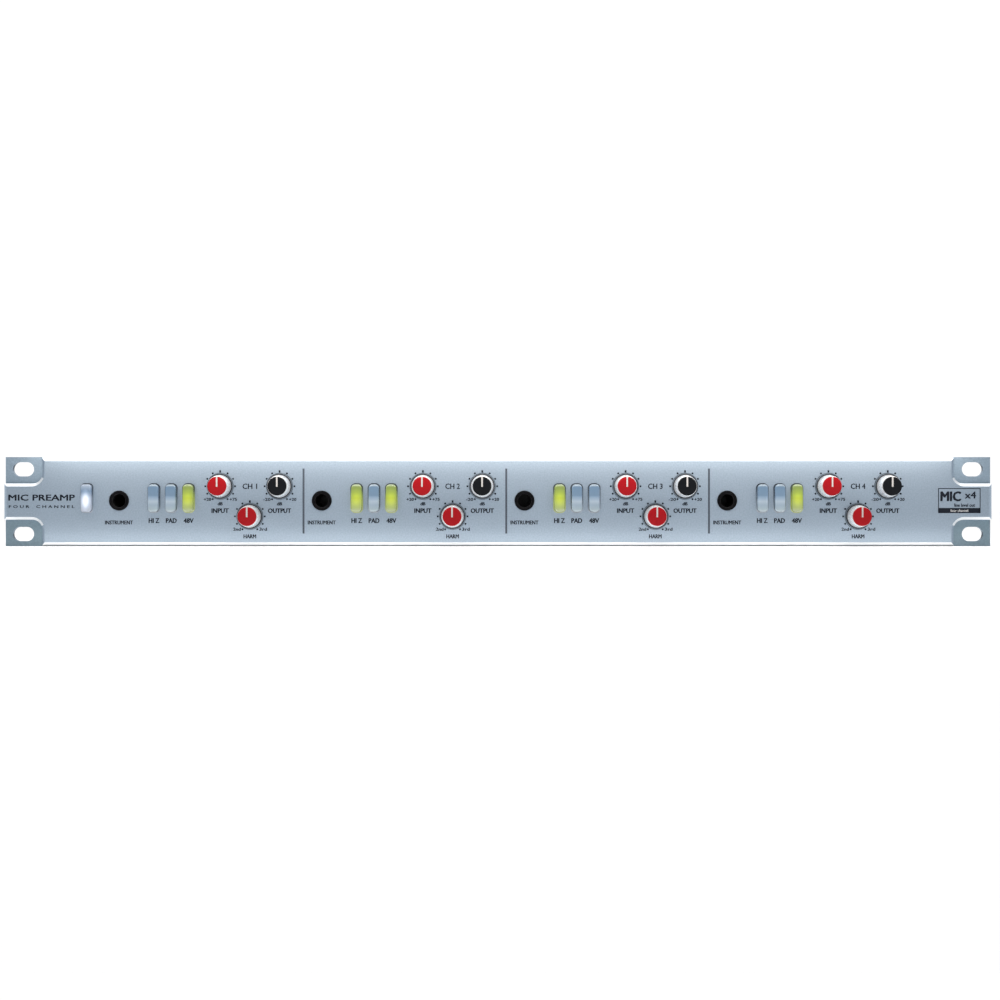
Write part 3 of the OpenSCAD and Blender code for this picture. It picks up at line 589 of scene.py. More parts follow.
def cutter(bm, x, z, width, height, front, back, radius=None, segments=40):
    """A closed prism through the panel, from front to back."""
    near = rounded_face(bm, width, height, radius, segments)
    bmesh.ops.translate(bm, verts=near, vec=(x, front, z))
    far = pull(bm, near, back - front)
    bmesh.ops.recalc_face_normals(bm, faces=list({f for v in near + far for f in v.link_faces}))


print("shapes ready")

# %% [markdown]
# Places come from the solid model: a box's middle is where its knob or button stands.

# %% Places on the panel
def middle(node):
    low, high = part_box(node)
    return (low + high) / 2


MOUNTS = {m["name"]: m for m in frame["record"]["mounts"]}
KNOB_KINDS, BUTTON_KINDS = ("input", "harmonic", "output"), ("hi_z", "pad", "phantom")
KNOBS = [(kind, c, middle(f"{kind}_knob_{c}")) for c in CHANNELS for kind in KNOB_KINDS]
BUTTONS = [(kind, c, middle(f"{kind}_button_{c}")) for c in CHANNELS for kind in BUTTON_KINDS]
POWER = middle("power_button")
JACK_Z = MOUNTS["instrument_jack_1"]["pos_m"][2]
JACKS = [MOUNTS[f"instrument_jack_{c}"]["pos_m"][0] for c in CHANNELS]
BUTTON_W, BUTTON_H, BUTTON_R, POWER_R = 5.1 * MM, 13.4 * MM, 1.9 * MM, 1.5 * MM
print("jacks at", [round(x / MM, 1) for x in JACKS], "mm")

# %% [markdown]
# The boolean modifiers work on objects, so the block, the ear plate and the cutters are made
# objects for a moment. The exact solver copes with faces that lie on one another. The result is
# read back through the dependency graph, and the helpers are removed.

# %% Panel body
GAP = 0.6 * MM
SLOT_X = panel_high.x - 8.75 * MM
SLOT_Z = 15.875 * MM
NOSE_R = 4.9 * MM
BUSHING_R = 3.75 * MM
DIVIDER_XS = [x - 8.9 * MM for x in JACKS[1:]]
DIVIDER_Z, DIVIDER_W, DIVIDER_H, DIVIDER_DEPTH = 0.3 * MM, 1.0 * MM, 31.8 * MM, 0.4 * MM


def ear_plate():
    bm = bmesh.new()
    add_box(bm, (panel_high.x * 2, EAR_T, panel_high.z * 2), (0, -EAR_T / 2, 0))
    return bm


def opening_cutters():
    bm = bmesh.new()
    front, back = FACE_Y - 1 * MM, 1 * MM
    for x in (-SLOT_X, SLOT_X):
        for z in (-SLOT_Z, SLOT_Z):
            cutter(bm, x, z, 10.3 * MM, 7.0 * MM, front, back)
    for x in JACKS:
        cutter(bm, x, JACK_Z, 2 * NOSE_R, 2 * NOSE_R, front, back)
    for _, _, at in KNOBS:
        cutter(bm, at.x, at.z, 2 * BUSHING_R, 2 * BUSHING_R, front, back, segments=24)
    for _, _, at in BUTTONS:
        cutter(bm, at.x, at.z, BUTTON_W + 2 * GAP, BUTTON_H + 2 * GAP, front, back, BUTTON_R + GAP)
    cutter(bm, POWER.x, POWER.z, BUTTON_W + 2 * GAP, BUTTON_H + 2 * GAP, front, back, POWER_R + GAP)
    for x in DIVIDER_XS:
        groove = (DIVIDER_W, DIVIDER_H, front, FACE_Y + DIVIDER_DEPTH, 0.1 * MM, 8)
        cutter(bm, x, DIVIDER_Z, *groove)
    return bm


def boolean(target, tool, operation):
    step = target.modifiers.new(operation.lower(), "BOOLEAN")
    step.operation = operation
    step.solver = "EXACT"
    step.object = tool


def read_back(target, tools):
    """The target's mesh with its modifiers applied, as a bmesh. The helper objects are removed."""
    bpy.context.view_layer.update()
    seen = target.evaluated_get(bpy.context.evaluated_depsgraph_get())
    bm = bmesh.new()
    bm.from_mesh(seen.to_mesh())
    seen.to_mesh_clear()
    for thing in [target, *tools]:
        bpy.data.objects.remove(thing)
    return bm


def panel_part(face):
    """0 is the panel, 1 and 3 are its upper and lower recesses, darker as painted shade, and 2 is a bevel
    made bright as a painted highlight.
    """
    spot, normal = face.calc_center_median(), face.normal
    on_ear = spot.y > -EAR_T - 1e-5 and abs(spot.x) > panel_high.x - RECESS_W - 1e-5
    if on_ear and normal.y < -0.9:
        return 1 if spot.z > 0 else 3
    # A slanted bevel that faces up or down gets the bright metal as a painted highlight; one that faces
    # sideways keeps the panel metal.
    slanted = spot.y < FACE_Y + LONG_BEVEL + 0.1 * MM and 0.3 < -normal.y < 0.95
    upright = abs(normal.x) > 2 * abs(normal.z)
    return 2 if slanted and not upright else 0


block = as_object("block", raised_block())
ears = as_object("ears", ear_plate())
cutters = as_object("cutters", opening_cutters())
boolean(block, ears, "UNION")
boolean(block, cutters, "DIFFERENCE")
bm = read_back(block, [ears, cutters])
bmesh.ops.remove_doubles(bm, verts=bm.verts, dist=0.002 * MM)
bmesh.ops.dissolve_limit(
    bm, angle_limit=math.radians(0.3), verts=bm.verts, edges=bm.edges, use_dissolve_boundaries=False
)
for face in bm.faces:
    face.material_index = panel_part(face)
open_edges = sum(not e.is_manifold for e in bm.edges)
panel = finish_mesh("panel_body", bm, angle=30)
panel_finishes = [panel_metal, upper_recess_painted_shade, bevel_highlight_metal, lower_recess_shade]
dress(panel, "unit", panel_finishes, ("front_panel",))
round_edges(panel, 0.22, segments=2)
print("panel body:", len(panel.data.polygons), "faces, open edges:", open_edges)

# %% [markdown]
# Under the lower bevel a narrow lip is left square. It faces forward, and its dark metal is a
# painted shadow: a fine dark line between the bevel's painted highlight and the table.

# %% Lower lip, a painted shadow line
LIP_L, LIP_T, LIP_H = 2 * (panel_high.x - RECESS_W) - 0.4 * MM, 0.7 * MM, 0.55 * MM
bm = bmesh.new()
add_box(bm, (LIP_L, LIP_T, LIP_H), (0, FACE_Y + 1.8 * MM, panel_low.z + LIP_H / 2))
# The lip's dark metal is painted shadow, not the panel's own colour.
lip_painted_shadow, _ = grained("lip_painted_shadow", (0.17, 0.19, 0.2), 1.0, 0.5, 0.5, 0.004, 0.05)
shadow_lip_strip = finish_mesh("panel_lower_painted_shadow_lip", bm)
dress(shadow_lip_strip, "unit", [lip_painted_shadow])
print("lower lip added")

# %% [markdown]
# The line between two channels is engraved and filled with dark paint, which stops a little
# below the face.

# %% Divider lines
bm = bmesh.new()
for x in DIVIDER_XS:
    cutter(
        bm, x, DIVIDER_Z, DIVIDER_W - 0.04 * MM, DIVIDER_H - 0.04 * MM,
        FACE_Y + 0.12 * MM, FACE_Y + DIVIDER_DEPTH, 0.1 * MM, 8,
    )
line_paint, _ = grained("divider_paint", (0.045, 0.06, 0.085), 0.0, 0.6, 0.3, 0.004, 0.15)
lines = finish_mesh("divider_paint_lines", bm)
dress(lines, "unit", [line_paint])
print("divider lines:", len(DIVIDER_XS))

# %% [markdown]
# ## Legends
# The lettering is screen printed: a film of dark ink that stands a few hundredths of a
# millimetre off the metal. A text curve gives the letters. It is made a mesh first, then
# measured, so that its height and width are in millimetres whatever the font's own size is.

# %% Helper for printed words
INK_T = 0.03 * MM


def letters(words, height, width=None):
    """The words as a mesh in the XY plane, centred on X, with the baseline at zero."""
    curve = bpy.data.curves.new("words", "FONT")
    curve.body = words
    curve.resolution_u = 2
    curve.extrude = 0.5
    holder = bpy.data.objects.new("words", curve)
    bpy.context.scene.collection.objects.link(holder)
    bpy.context.view_layer.update()
    mesh = bpy.data.meshes.new_from_object(holder.evaluated_get(bpy.context.evaluated_depsgraph_get()))
    bpy.data.objects.remove(holder)
    xs = [v.co.x for v in mesh.vertices]
    ys = [v.co.y for v in mesh.vertices]
    tall = height / (max(ys) - min(ys))
    wide = width / (max(xs) - min(xs)) if width else tall
    mesh.transform(Matrix.Translation((-(max(xs) + min(xs)) / 2, -min(ys), 0)))
    mesh.transform(Matrix.Diagonal((wide, tall, 1, 1)))
    return mesh


def print_words(bm, words, x, z, height, width=None, bold=0.0, y=FACE_Y, rear=False):
    """Adds words whose middle is at x and whose baseline is at z, on the face at y. Bold words
    are struck more than once, this many millimetres apart, as a printer doubles a thin letter."""
    mesh = letters(words, height * MM, (width - bold) * MM if width else None)
    turn = Matrix.Rotation(math.radians(90), 4, "X")
    if rear:
        turn = Matrix.Rotation(math.pi, 4, "Z") @ turn
    steps = ((0, 0),) if not bold else ((-0.5, -0.25), (-0.2, 0.25), (0.2, -0.25), (0.5, 0.25))
    for index, (along, up) in enumerate(steps):
        copy = mesh.copy()
        film = INK_T + 0.002 * MM * index
        copy.transform(Matrix.Diagonal((1, 1, film, 1)))
        out = film / 2 if rear else -film / 2
        place = Matrix.Translation((x + along * bold * MM, y + out, z + up * bold * MM))
        copy.transform(place @ turn)
        bm.from_mesh(copy)
        bpy.data.meshes.remove(copy)
    bpy.data.meshes.remove(mesh)


def print_bar(bm, x, z, width, height, y=FACE_Y, turn=0.0, about=None):
    """A small printed rectangle. turn swings it round a point, as on a scale."""
    made = add_box(bm, (width, INK_T, height), (x, y - INK_T / 2, z))
    if turn:
        bmesh.ops.rotate(bm, verts=made, cent=about, matrix=Matrix.Rotation(turn, 3, "Y"))


print("ink is", INK_T / MM, "mm thick")

# %% [markdown]
# Each knob has a scale of eleven square marks, 30 degrees apart, with a longer one at the top,
# and a fine dark ring in ink round its foot, a painted shadow. A ring is a circle that is inset and has
# its middle removed.

# %% Knob scales
SCALE_R = 7.26 * MM
MARK, TOP_MARK = 0.85 * MM, 1.15 * MM
SHADOW_RING_OUTER, SHADOW_RING_INNER = 6.5 * MM, 6.3 * MM


def print_ring(bm, x, z, outer, inner, y=FACE_Y, segments=64):
    verts = ring_of(bm, outer, segments)
    bmesh.ops.translate(bm, verts=verts, vec=(x, y - INK_T, z))
    face = next(f for f in bm.faces if set(f.verts) == set(verts))
    bmesh.ops.inset_region(bm, faces=[face], thickness=outer - inner, use_boundary=True)
    bmesh.ops.delete(bm, geom=[face], context="FACES_ONLY")
    band = list({f for v in verts for f in v.link_faces})
    bmesh.ops.recalc_face_normals(bm, faces=band)
    if band[0].normal.y > 0:
        bmesh.ops.reverse_faces(bm, faces=band)


def print_scale(bm, at):
    for step in range(-5, 6):
        print_bar(
            bm, at.x, at.z + SCALE_R, MARK, MARK if step else TOP_MARK, turn=math.radians(30 * step),
            about=(at.x, FACE_Y, at.z),
        )
    # The dark ring round the knob's foot is a painted shadow.
    print_ring(bm, at.x, at.z, SHADOW_RING_OUTER, SHADOW_RING_INNER)


bm = bmesh.new()
for _, _, at in KNOBS:
    print_scale(bm, at)
scales = finish_mesh("knob_scales", bm)
dress(scales, "unit", [ink])
print("scales:", len(KNOBS), "with", len(scales.data.polygons), "faces")

# %% [markdown]
# The words are the plain ones that any such unit carries: what each socket, button and knob
# does, and the ends of each scale. The marks of the maker are left out. Simple descriptions of
# the same size stand in their places. Baselines are heights above the middle of the panel, and
# the three numbers after them are a word's height, its width and how bold it is, in millimetres.

# %% Front legends
BUTTON_WORDS = (("HI Z", 5.3), ("PAD", 5.4), ("48V", 5.0))
FIRST_BUTTON, BUTTON_PITCH = 17.1 * MM, 8.45 * MM
KNOB_OFFSETS = (49.4 * MM, 63.9 * MM, 78.4 * MM)
SOCKET_LINE, BUTTON_LINE, KNOB_LINE = -11.1 * MM, -10.4 * MM, -5.5 * MM
UNIT_LINE, ENDS_LINE, CHANNEL_LINE = -1.8 * MM, 0.4 * MM, 6.2 * MM
LOWER_ENDS_LINE, LOWER_LINE = -14.2 * MM, -17.9 * MM

bm = bmesh.new()
for channel, jack in zip(CHANNELS, JACKS):
    print_words(bm, "INSTRUMENT", jack, SOCKET_LINE, 1.85, 13.7, 0.2)
    for k, (words, width) in enumerate(BUTTON_WORDS):
        print_words(bm, words, jack + FIRST_BUTTON + k * BUTTON_PITCH, BUTTON_LINE, 2.25, width, 0.28)
    left, lower, right = (jack + offset for offset in KNOB_OFFSETS)
    for x, words, width, low_end, high_end in (
        (left, "INPUT", 8.5, "+20", "+75"), (right, "OUTPUT", 11.4, "-20", "+20"),
    ):
        print_words(bm, words, x, KNOB_LINE, 2.15, width, 0.28)
        print_words(bm, "dB", x, UNIT_LINE, 1.5, 2.6, 0.24)
        print_words(bm, low_end, x - 6.2 * MM, ENDS_LINE, 1.4, 3.7, 0.2)
        print_words(bm, high_end, x + 6.4 * MM, ENDS_LINE, 1.4, 3.7, 0.2)
    print_words(bm, "2nd", lower - 6.3 * MM, LOWER_ENDS_LINE, 1.5, 3.8, 0.2)
    print_words(bm, "3rd", lower + 6.5 * MM, LOWER_ENDS_LINE, 1.5, 3.8, 0.2)
    print_words(bm, "HARM", lower, LOWER_LINE, 1.9, 6.2, 0.22)
    print_words(bm, f"CH {channel}", lower, CHANNEL_LINE, 2.6, 7.2, 0.2)
legends = finish_mesh("front_legends", bm)
dress(legends, "unit", [ink])
print("front legends:", len(legends.data.polygons), "faces")

# %% [markdown]
# At the left end a plain name line says what the unit is. At the right end an outlined plate
# with a dark bar carries a few plain words.

# %% Name line and badge
BADGE_X, BADGE_W = 225.3 * MM, 20.7 * MM
BADGE_TOP, BADGE_LOW = 6.6 * MM, -5.6 * MM
FRAME_W, BAR_H = 0.4 * MM, 2.5 * MM
NAME_X = -222.8 * MM

bm = bmesh.new()
print_words(bm, "MIC PREAMP", NAME_X, 0.5 * MM, 2.9, 32.6, 0.32)
print_words(bm, "F O U R    C H A N N E L", NAME_X, -3.1 * MM, 1.3, 32.2, 0.16)
badge_mid = (BADGE_TOP + BADGE_LOW) / 2
for side in (-1, 1):
    x = BADGE_X + side * (BADGE_W - FRAME_W) / 2
    print_bar(bm, x, badge_mid, FRAME_W, BADGE_TOP - BADGE_LOW)
print_bar(bm, BADGE_X, BADGE_TOP - FRAME_W / 2, BADGE_W, FRAME_W)
print_bar(bm, BADGE_X, BADGE_LOW + BAR_H / 2, BADGE_W, BAR_H)
print_words(bm, "MIC", BADGE_X - 4.2 * MM, 0.3 * MM, 4.6, 10.2, 0.6)
print_words(bm, "x4", BADGE_X + 5.4 * MM, 1.6 * MM, 3.3, 5.6, 0.3)
print_words(bm, "line level out", BADGE_X + 2.6 * MM, -2.5 * MM, 1.6, 10.2, 0.16)
badge = finish_mesh("name_line_and_badge", bm)
dress(badge, "unit", [ink])

bm = bmesh.new()
print_words(bm, "four channel", BADGE_X, BADGE_LOW + 0.65 * MM, 1.2, 8.6, y=FACE_Y - INK_T)
bar_words = finish_mesh("badge_bar_words", bm)
dress(bar_words, "unit", [white_ink])
print("badge:", len(badge.data.polygons), "faces")

# %% [markdown]
# ## Jacks
# The sockets keep the solid model's shape, whose nose fills the hole in the panel. The real nose
# ends in a raised ring with a soft lip and a sunk mouth. That ring is turned: its section is
# drawn once and spun about the socket's axis.

# %% Jack rings
def turned(bm, outline, x, z, steps=64):
    """Spins an outline of (radius, y) points about an axis along Y through x and z."""
    verts = [bm.verts.new((x + radius, y, z)) for radius, y in outline]
    edges = [bm.edges.new(pair) for pair in zip(verts, verts[1:])]
    before = set(bm.verts) - set(verts)
    bmesh.ops.spin(
        bm, geom=verts + edges, cent=(x, 0, z), axis=(0, 1, 0), dvec=(0, 0, 0),
        angle=math.tau, steps=steps, use_merge=True, use_duplicate=False,
    )
    new = [v for v in bm.verts if v not in before]
    bmesh.ops.remove_doubles(bm, verts=new, dist=1e-7)
    shell = list({f for v in bm.verts if v not in before for f in v.link_faces})
    bmesh.ops.recalc_face_normals(bm, faces=shell)


bm = bmesh.new()
lip = [
    (3.3, -6.2), (3.3, -7.35), (3.42, -7.5), (3.62, -7.56), (3.8, -7.68), (3.95, -7.95), (4.15, -8.05),
    (4.45, -8.02), (4.68, -7.86), (4.8, -7.6), (4.82, -7.02), (4.7, -6.2), (3.3, -6.2),
]
for x in JACKS:
    turned(bm, [(r * MM, y * MM) for r, y in lip], x, JACK_Z)
rings = finish_mesh("jack_nose_rings", bm, angle=50)
dress(rings, "unit", [ring_plastic])
sockets = frame["nodes"]["jack_sockets"].data
sockets.materials.clear()
sockets.materials.append(socket_plastic)
print("jack rings:", len(JACKS), "with", len(rings.data.polygons), "faces")

# %% [markdown]
# ## Knobs
# A knob is turned from aluminium: a skirt at the foot, a slight taper, a coloured cap pressed
# into its end, and a shaft behind. Its section is spun in the same way as the ring's. The edges
# get small radii in the section itself, so no bevel is needed afterwards.

# %% Knob bodies
FOOT_R, BODY_R, NECK_R, CAP_R = 6.1, 5.5, 4.84, 4.6
SEAT_Y, SKIRT_Y, NECK_Y, TOP_Y = -7.8, -8.5, -18.2, -19.8
SHAFT_R, SHAFT_END = 3.0, 14.0


def knob_section():
    """From the axis at the front, over the side, to the end of the shaft. Millimetres."""
    slope = (BODY_R - NECK_R) / (SKIRT_Y - NECK_Y)
    return [
        (0.0, NECK_Y), (NECK_R - 0.35, NECK_Y), (NECK_R - 0.1, NECK_Y + 0.1), (NECK_R, NECK_Y + 0.35),
        (NECK_R + slope * 5, NECK_Y + 5), (BODY_R, SKIRT_Y - 0.15), (BODY_R, SKIRT_Y),
        (FOOT_R - 0.12, SKIRT_Y), (FOOT_R, SKIRT_Y + 0.12), (FOOT_R, SEAT_Y - 0.1),
        (FOOT_R - 0.1, SEAT_Y), (SHAFT_R + 0.3, SEAT_Y), (SHAFT_R, SEAT_Y + 0.2),
        (SHAFT_R, SHAFT_END - 0.4), (SHAFT_R - 0.4, SHAFT_END), (0.0, SHAFT_END),
    ]


for kind, channel, at in KNOBS:
    bm = bmesh.new()
    turned(bm, [(r * MM, y * MM) for r, y in knob_section()], at.x, at.z, 72)
    # The skirt's faces take the dark metal, a painted shadow at the knob's foot.
    for face in bm.faces:
        face.material_index = int(face.calc_center_median().y > (SKIRT_Y - 0.05) * MM)
    knob = finish_mesh(f"{kind}_knob_body_{channel}", bm, angle=40)
    finishes = [knob_metal, foot_shadow_metal]
    dress(knob, f"{kind}_control_{channel}", finishes, (f"{kind}_knob_{channel}",))
print("knob bodies:", len(KNOBS))

# %% [markdown]
# The cap is a plastic disc with a soft edge and a groove from its middle to its rim, filled with
# white. The disc is spun, and a boolean with a small box cuts the groove. The white bar sits in
# the cut, a hair below the face, and the line goes on down the side of the metal body as a thin
# painted strip.

# %% Caps and pointers
POINTER_W, POINTER_D = 0.8, 0.3


def cap_section():
    return [
        (0.0, TOP_Y), (CAP_R - 0.55, TOP_Y), (CAP_R - 0.25, TOP_Y + 0.07), (CAP_R - 0.07, TOP_Y + 0.25),
        (CAP_R, TOP_Y + 0.55), (CAP_R, NECK_Y), (0.0, NECK_Y),
    ]


def bar_box(bm, x, z, width, z0, z1, y0, y1):
    """A bar above the middle of a knob, between two heights and two depths in millimetres."""
    size = (width * MM, (y1 - y0) * MM, (z1 - z0) * MM)
    return add_box(bm, size, (x, (y0 + y1) / 2 * MM, z + (z0 + z1) / 2 * MM))


def make_cap(kind, channel, at):
    bm = bmesh.new()
    turned(bm, [(r * MM, y * MM) for r, y in cap_section()], at.x, at.z, 72)
    disc = as_object("disc", bm)
    bm = bmesh.new()
    bar_box(bm, at.x, at.z, POINTER_W, -0.35, CAP_R + 1, TOP_Y - 1, TOP_Y + POINTER_D)
    groove = as_object("groove", bm)
    boolean(disc, groove, "DIFFERENCE")
    bm = read_back(disc, [groove])
    bmesh.ops.remove_doubles(bm, verts=bm.verts, dist=1e-6)
    cap = finish_mesh(f"{kind}_cap_{channel}_disc", bm, angle=40)
    black = kind == "output"
    slot, plastic = ("black_caps", black_plastic) if black else ("red_caps", red_plastic)
    dress(cap, f"{kind}_control_{channel}", [plastic], (f"{kind}_cap_{channel}",))


def make_pointer(kind, channel, at):
    """The white bar in the groove, and the painted strip that follows the slope of the body."""
    bm = bmesh.new()
    bar_box(bm, at.x, at.z, POINTER_W - 0.02, -0.34, CAP_R - 0.02, TOP_Y + 0.06, TOP_Y + POINTER_D - 0.01)
    strip = bar_box(bm, at.x, at.z, POINTER_W, NECK_R - 0.12, NECK_R + 0.03, NECK_Y + 0.3, SKIRT_Y - 0.2)
    lean = (BODY_R - NECK_R) * MM
    for vert in strip:
        if vert.co.y > -12 * MM:
            vert.co.z += lean
    bmesh.ops.recalc_face_normals(bm, faces=bm.faces)
    pointer = finish_mesh(f"{kind}_pointer_{channel}", bm)
    dress(pointer, f"{kind}_control_{channel}", [white_inlay])


for kind, channel, at in KNOBS:
    make_cap(kind, channel, at)
    make_pointer(kind, channel, at)
print("caps and pointers:", len(KNOBS))

# %% [markdown]
# ## Buttons
# Each push button is a light guide of frosted plastic with a lamp behind its middle. The upper
# part is deeper and the lower paler, partly the guide's own make and partly painted shade, the top
# and bottom edges carry painted highlights, and a lit one glows strongest just below the middle.
# The pattern is laid on the button, so each button gets a small UV map: one unit wide and one
# high over its front. One material then suits every button of its kind.

# %% Light guide plastic
def add_ramp(nodes, links, source, stops):
    ramp = nodes.new("ShaderNodeValToRGB")
    while len(ramp.color_ramp.elements) < len(stops):
        ramp.color_ramp.elements.new(0.5)
    for element, (position, color) in zip(ramp.color_ramp.elements, stops):
        element.position = position
        element.color = (*color, 1)
    links.new(source, ramp.inputs["Fac"])
    return ramp.outputs["Color"]


def add_value(nodes, links, kind, **inputs):
    """A Math node of the given kind. Inputs a and b are numbers or sockets."""
    node = nodes.new("ShaderNodeMath")
    node.operation = kind
    for index, value in enumerate(inputs.values()):
        if isinstance(value, (int, float)):
            node.inputs[index].default_value = value
        else:
            links.new(value, node.inputs[index])
    return node.outputs[0]


def light_guide(name, stops, glow=None, glow_strength=0.0, glow_high=0.42, glow_size=(0.9, 0.75)):
    """Frosted plastic whose colour changes with height, partly painted shade and painted highlights, and
    a lamp's glow round one point.
    """
    material = bpy.data.materials.new(name)
    material.use_nodes = True
    nodes, links = material.node_tree.nodes, material.node_tree.links
    shader = nodes["Principled BSDF"]
    shader.inputs["Roughness"].default_value = 0.22
    shader.inputs["Coat Weight"].default_value = 0.5
    shader.inputs["Coat Roughness"].default_value = 0.1
    place = nodes.new("ShaderNodeTexCoord")
    split = nodes.new("ShaderNodeSeparateXYZ")
    links.new(place.outputs["UV"], split.inputs[0])
    links.new(add_ramp(nodes, links, split.outputs["Y"], stops), shader.inputs["Base Color"])
    haze = nodes.new("ShaderNodeTexNoise")
    haze.inputs["Scale"].default_value = 4000.0
    links.new(place.outputs["Object"], haze.inputs["Vector"])
    bump = nodes.new("ShaderNodeBump")
    bump.inputs["Distance"].default_value = 0.003 * MM
    links.new(haze.outputs["Fac"], bump.inputs["Height"])
    links.new(bump.outputs["Normal"], shader.inputs["Normal"])
    if glow:
        squares = []
        for axis, middle_at, size in (("X", 0.5, glow_size[0]), ("Y", glow_high, glow_size[1])):
            away = add_value(nodes, links, "SUBTRACT", a=split.outputs[axis], b=middle_at)
            away = add_value(nodes, links, "DIVIDE", a=away, b=size)
            away = add_value(nodes, links, "ABSOLUTE", a=away)
            squares.append(add_value(nodes, links, "POWER", a=away, b=2.0))
        far = add_value(nodes, links, "ADD", a=squares[0], b=squares[1])
        far = add_value(nodes, links, "SQRT", a=far)
        links.new(add_ramp(nodes, links, far, glow), shader.inputs["Emission Color"])
        shader.inputs["Emission Strength"].default_value = glow_strength
    return material


# In these ramps the bright stops at 0 and 1 are painted highlights along the bottom and top edges, and
# the deeper upper half is partly painted shade.
clear_guide = light_guide("unlit_guide_plastic", [
    (0.0, (0.34, 0.4, 0.44)), (0.1, (0.24, 0.31, 0.36)), (0.25, (0.22, 0.29, 0.36)),
    (0.38, (0.28, 0.35, 0.43)), (0.52, (0.19, 0.27, 0.37)), (0.6, (0.12, 0.19, 0.28)),
    (0.9, (0.11, 0.18, 0.27)), (1.0, (0.3, 0.37, 0.43)),
])
lit_guide = light_guide(
    "lit_guide_plastic",
    [
        (0.0, (0.3, 0.34, 0.24)), (0.15, (0.2, 0.24, 0.1)), (0.5, (0.1, 0.13, 0.03)),
        (0.58, (0.14, 0.19, 0.04)), (0.9, (0.16, 0.21, 0.06)), (1.0, (0.3, 0.36, 0.24)),
    ],
    glow=[
        (0.0, (0.85, 0.95, 0.03)), (0.3, (0.7, 0.8, 0.03)), (0.65, (0.3, 0.38, 0.02)),
        (1.0, (0.08, 0.11, 0.01)),
    ],
    glow_strength=0.5, glow_high=0.46, glow_size=(0.9, 0.42),
)
power_guide = light_guide(
    "power_guide_plastic",
    [
        (0.0, (0.36, 0.4, 0.48)), (0.5, (0.28, 0.33, 0.42)), (0.75, (0.13, 0.2, 0.3)),
        (1.0, (0.3, 0.36, 0.45)),
    ],
    glow=[
        (0.0, (1.0, 1.0, 1.0)), (0.3, (0.75, 0.79, 0.85)), (0.7, (0.15, 0.18, 0.23)),
        (1.0, (0.0, 0.0, 0.0)),
    ],
    glow_strength=0.9, glow_high=0.42, glow_size=(0.55, 0.42),
)
# Painted shadow at the top of the collar and a painted highlight at its bottom.
collar_shadow_and_highlight = light_guide("collar_painted_shadow_and_highlight", [
    (0.0, (0.42, 0.46, 0.52)), (0.12, (0.34, 0.39, 0.46)), (0.3, (0.22, 0.28, 0.34)),
    (0.7, (0.12, 0.16, 0.21)), (0.9, (0.035, 0.045, 0.06)), (1.0, (0.03, 0.04, 0.055)),
])
# Round a lit button the collar also glows: a painted spill of the button's light, over the same painted
# shadow and highlight.
lit_collar_painted_glow = light_guide(
    "lit_collar_painted_light_spill",
    [
        (0.0, (0.4, 0.43, 0.28)), (0.3, (0.25, 0.3, 0.18)), (0.7, (0.12, 0.16, 0.14)),
        (0.9, (0.035, 0.045, 0.05)), (1.0, (0.03, 0.04, 0.045)),
    ],
    glow=[(0.0, (0.5, 0.55, 0.06)), (0.8, (0.22, 0.26, 0.04)), (1.0, (0.0, 0.0, 0.0))],
    glow_strength=0.35, glow_high=0.3, glow_size=(0.9, 0.5),
)
stem_plastic, _ = grained("button_stem_plastic", (0.3, 0.33, 0.36), 0.0, 0.4, 0.3, 0.004, 0.06)
print("light guides: clear, lit and power; collars: clear and lit")

# %% [markdown]
# The button itself is a rounded bar pulled back from its front face, with a round over along
# the front edge, and a square stem that reaches its switch.

# %% Buttons
STEM_FRONT, STEM_W = 0.5 * MM, 3.0 * MM
ROUND_OVER = 0.7 * MM


def lay_front_uv(bm, at, width, height):
    """A UV map that runs from 0 to 1 over this width and height round a point of the front."""
    over = bm.loops.layers.uv.new("front")
    for face in bm.faces:
        for loop in face.loops:
            spot = loop.vert.co
            loop[over].uv = ((spot.x - at.x) / width + 0.5, (spot.z - at.z) / height + 0.5)


def make_button(node, body, guide, radius=BUTTON_R):
    low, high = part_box(node)
    at = (low + high) / 2
    bm = bmesh.new()
    front = rounded_face(bm, BUTTON_W, BUTTON_H, radius, 48)
    bmesh.ops.translate(bm, verts=front, vec=(at.x, low.y, at.z))
    pull(bm, front, STEM_FRONT - low.y)
    bmesh.ops.recalc_face_normals(bm, faces=bm.faces)
    bmesh.ops.bevel(
        bm, geom=front_edges(bm, low.y), affect="EDGES", offset=ROUND_OVER, segments=6,
        profile=0.5, material=-1,
    )
    for face in bm.faces:
        face.material_index = 0
    size = (STEM_W, high.y - STEM_FRONT, STEM_W)
    stem = add_box(bm, size, (at.x, (high.y + STEM_FRONT) / 2, at.z))
    for face in {f for v in stem for f in v.link_faces}:
        face.material_index = 1
    lay_front_uv(bm, at, BUTTON_W, BUTTON_H)
    button = finish_mesh(node + "_light_guide", bm, angle=40)
    dress(button, body, [guide, stem_plastic], (node,))


LIT = {("phantom", 1), ("hi_z", 2), ("phantom", 2), ("hi_z", 3), ("phantom", 4)}
for kind, channel, at in BUTTONS:
    lit = (kind, channel) in LIT
    make_button(
        f"{kind}_button_{channel}", f"{kind}_press_{channel}",
        lit_guide if lit else clear_guide,
    )
make_button("power_button", "power_press", power_guide, POWER_R)
print("buttons:", len(BUTTONS) + 1, "of which lit:", len(LIT) + 1)

# %% [markdown]
# Each opening is lined with a frosted collar that the button slides in. It keeps light from
# leaking past, stays with the panel when the button moves, and leaves a tenth of a millimetre
# It is an outline that is inset to a band and then pulled back. Its colour is a painted shadow
# along the top and a painted highlight along the bottom, and round a lit button a painted glow of its
# light.

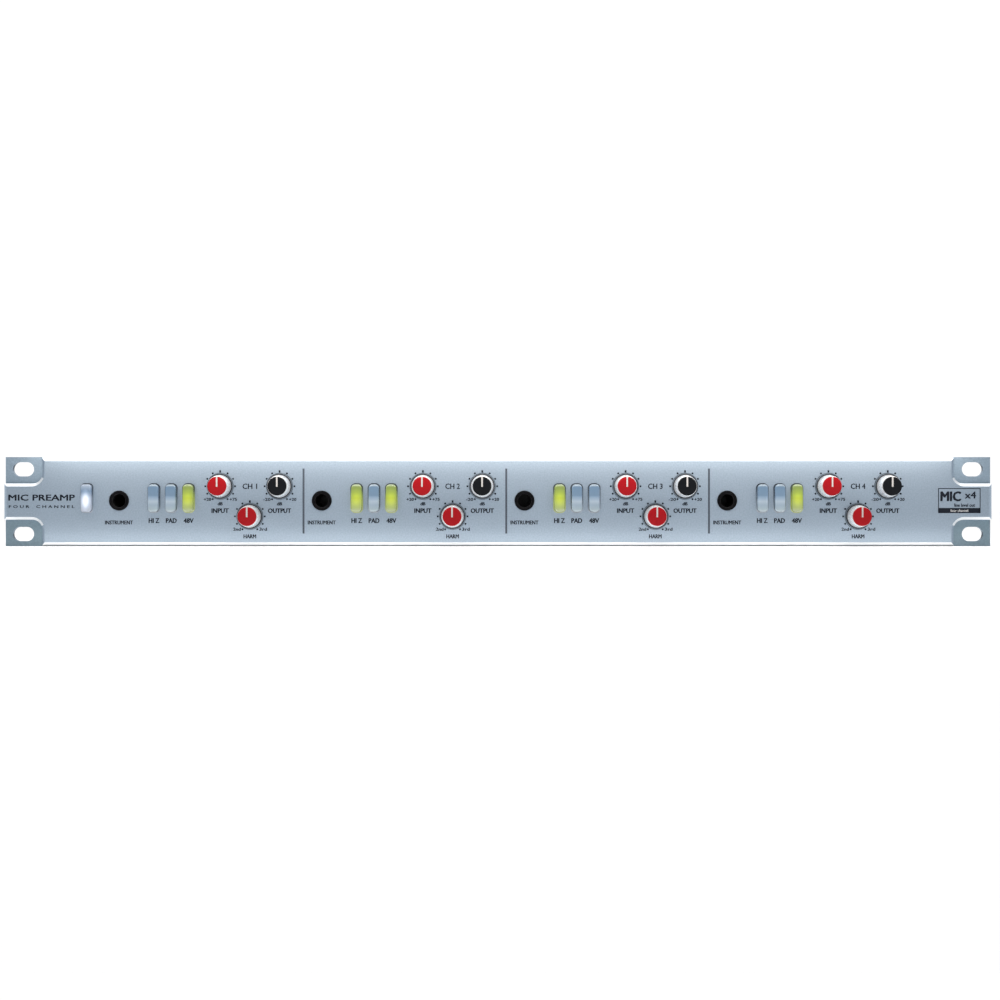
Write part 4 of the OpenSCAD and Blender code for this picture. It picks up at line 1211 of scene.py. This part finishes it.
# %% Collars
COLLAR_FRONT, COLLAR_BACK = FACE_Y + 0.12 * MM, FACE_Y + 5 * MM
BAND, COLLAR_FIT = 0.44 * MM, 0.02 * MM


def make_collar(name, at, guide, radius=BUTTON_R):
    grow = GAP - COLLAR_FIT
    width, height = BUTTON_W + 2 * grow, BUTTON_H + 2 * grow
    bm = bmesh.new()
    rounded_face(bm, width, height, radius + grow, 48)
    face = bm.faces[:][0]
    bmesh.ops.inset_region(bm, faces=[face], thickness=BAND, use_boundary=True)
    bmesh.ops.delete(bm, geom=[face], context="FACES_ONLY")
    made = bmesh.ops.extrude_face_region(bm, geom=bm.faces[:])["geom"]
    back = [g for g in made if isinstance(g, bmesh.types.BMVert)]
    bmesh.ops.translate(bm, verts=back, vec=(0, COLLAR_BACK - COLLAR_FRONT, 0))
    bmesh.ops.translate(bm, verts=bm.verts, vec=(at.x, COLLAR_FRONT, at.z))
    bmesh.ops.recalc_face_normals(bm, faces=bm.faces)
    lay_front_uv(bm, at, width, height)
    collar = finish_mesh(name, bm, angle=40)
    dress(collar, "unit", [guide])


for kind, channel, at in BUTTONS:
    lit = (kind, channel) in LIT
    slot, guide = ("lit_buttons", lit_collar_painted_glow) if lit else ("buttons", collar_shadow_and_highlight)
    make_collar(f"{kind}_collar_{channel}", at, guide)
make_collar("power_collar", POWER, collar_shadow_and_highlight, POWER_R)
print("collars:", len(BUTTONS) + 1)

# %% [markdown]
# ## Rear legends
# The back carries plain words too: which socket is which. They are printed white on the black
# coat, straight above each flange.

# %% Rear legends
REAR_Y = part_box("rear_panel")[1].y
REAR_LINE, REAR_WORD_H = 16.5 * MM, 2.0
bm = bmesh.new()
for channel in CHANNELS:
    for kind, words in (("mic_input", "MIC IN"), ("line_output", "LINE OUT")):
        x = MOUNTS[f"{kind}_{channel}"]["pos_m"][0]
        print_words(bm, f"{words} {channel}", x, REAR_LINE, REAR_WORD_H, y=REAR_Y, rear=True)
inlet_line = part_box("mains_inlet")[1].z + 0.6 * MM
print_words(bm, "AC IN", middle("mains_inlet").x, inlet_line, REAR_WORD_H, y=REAR_Y, rear=True)
rear_words = finish_mesh("rear_legends", bm)
dress(rear_words, "unit", [white_ink])
print("rear legends:", len(rear_words.data.polygons), "faces")
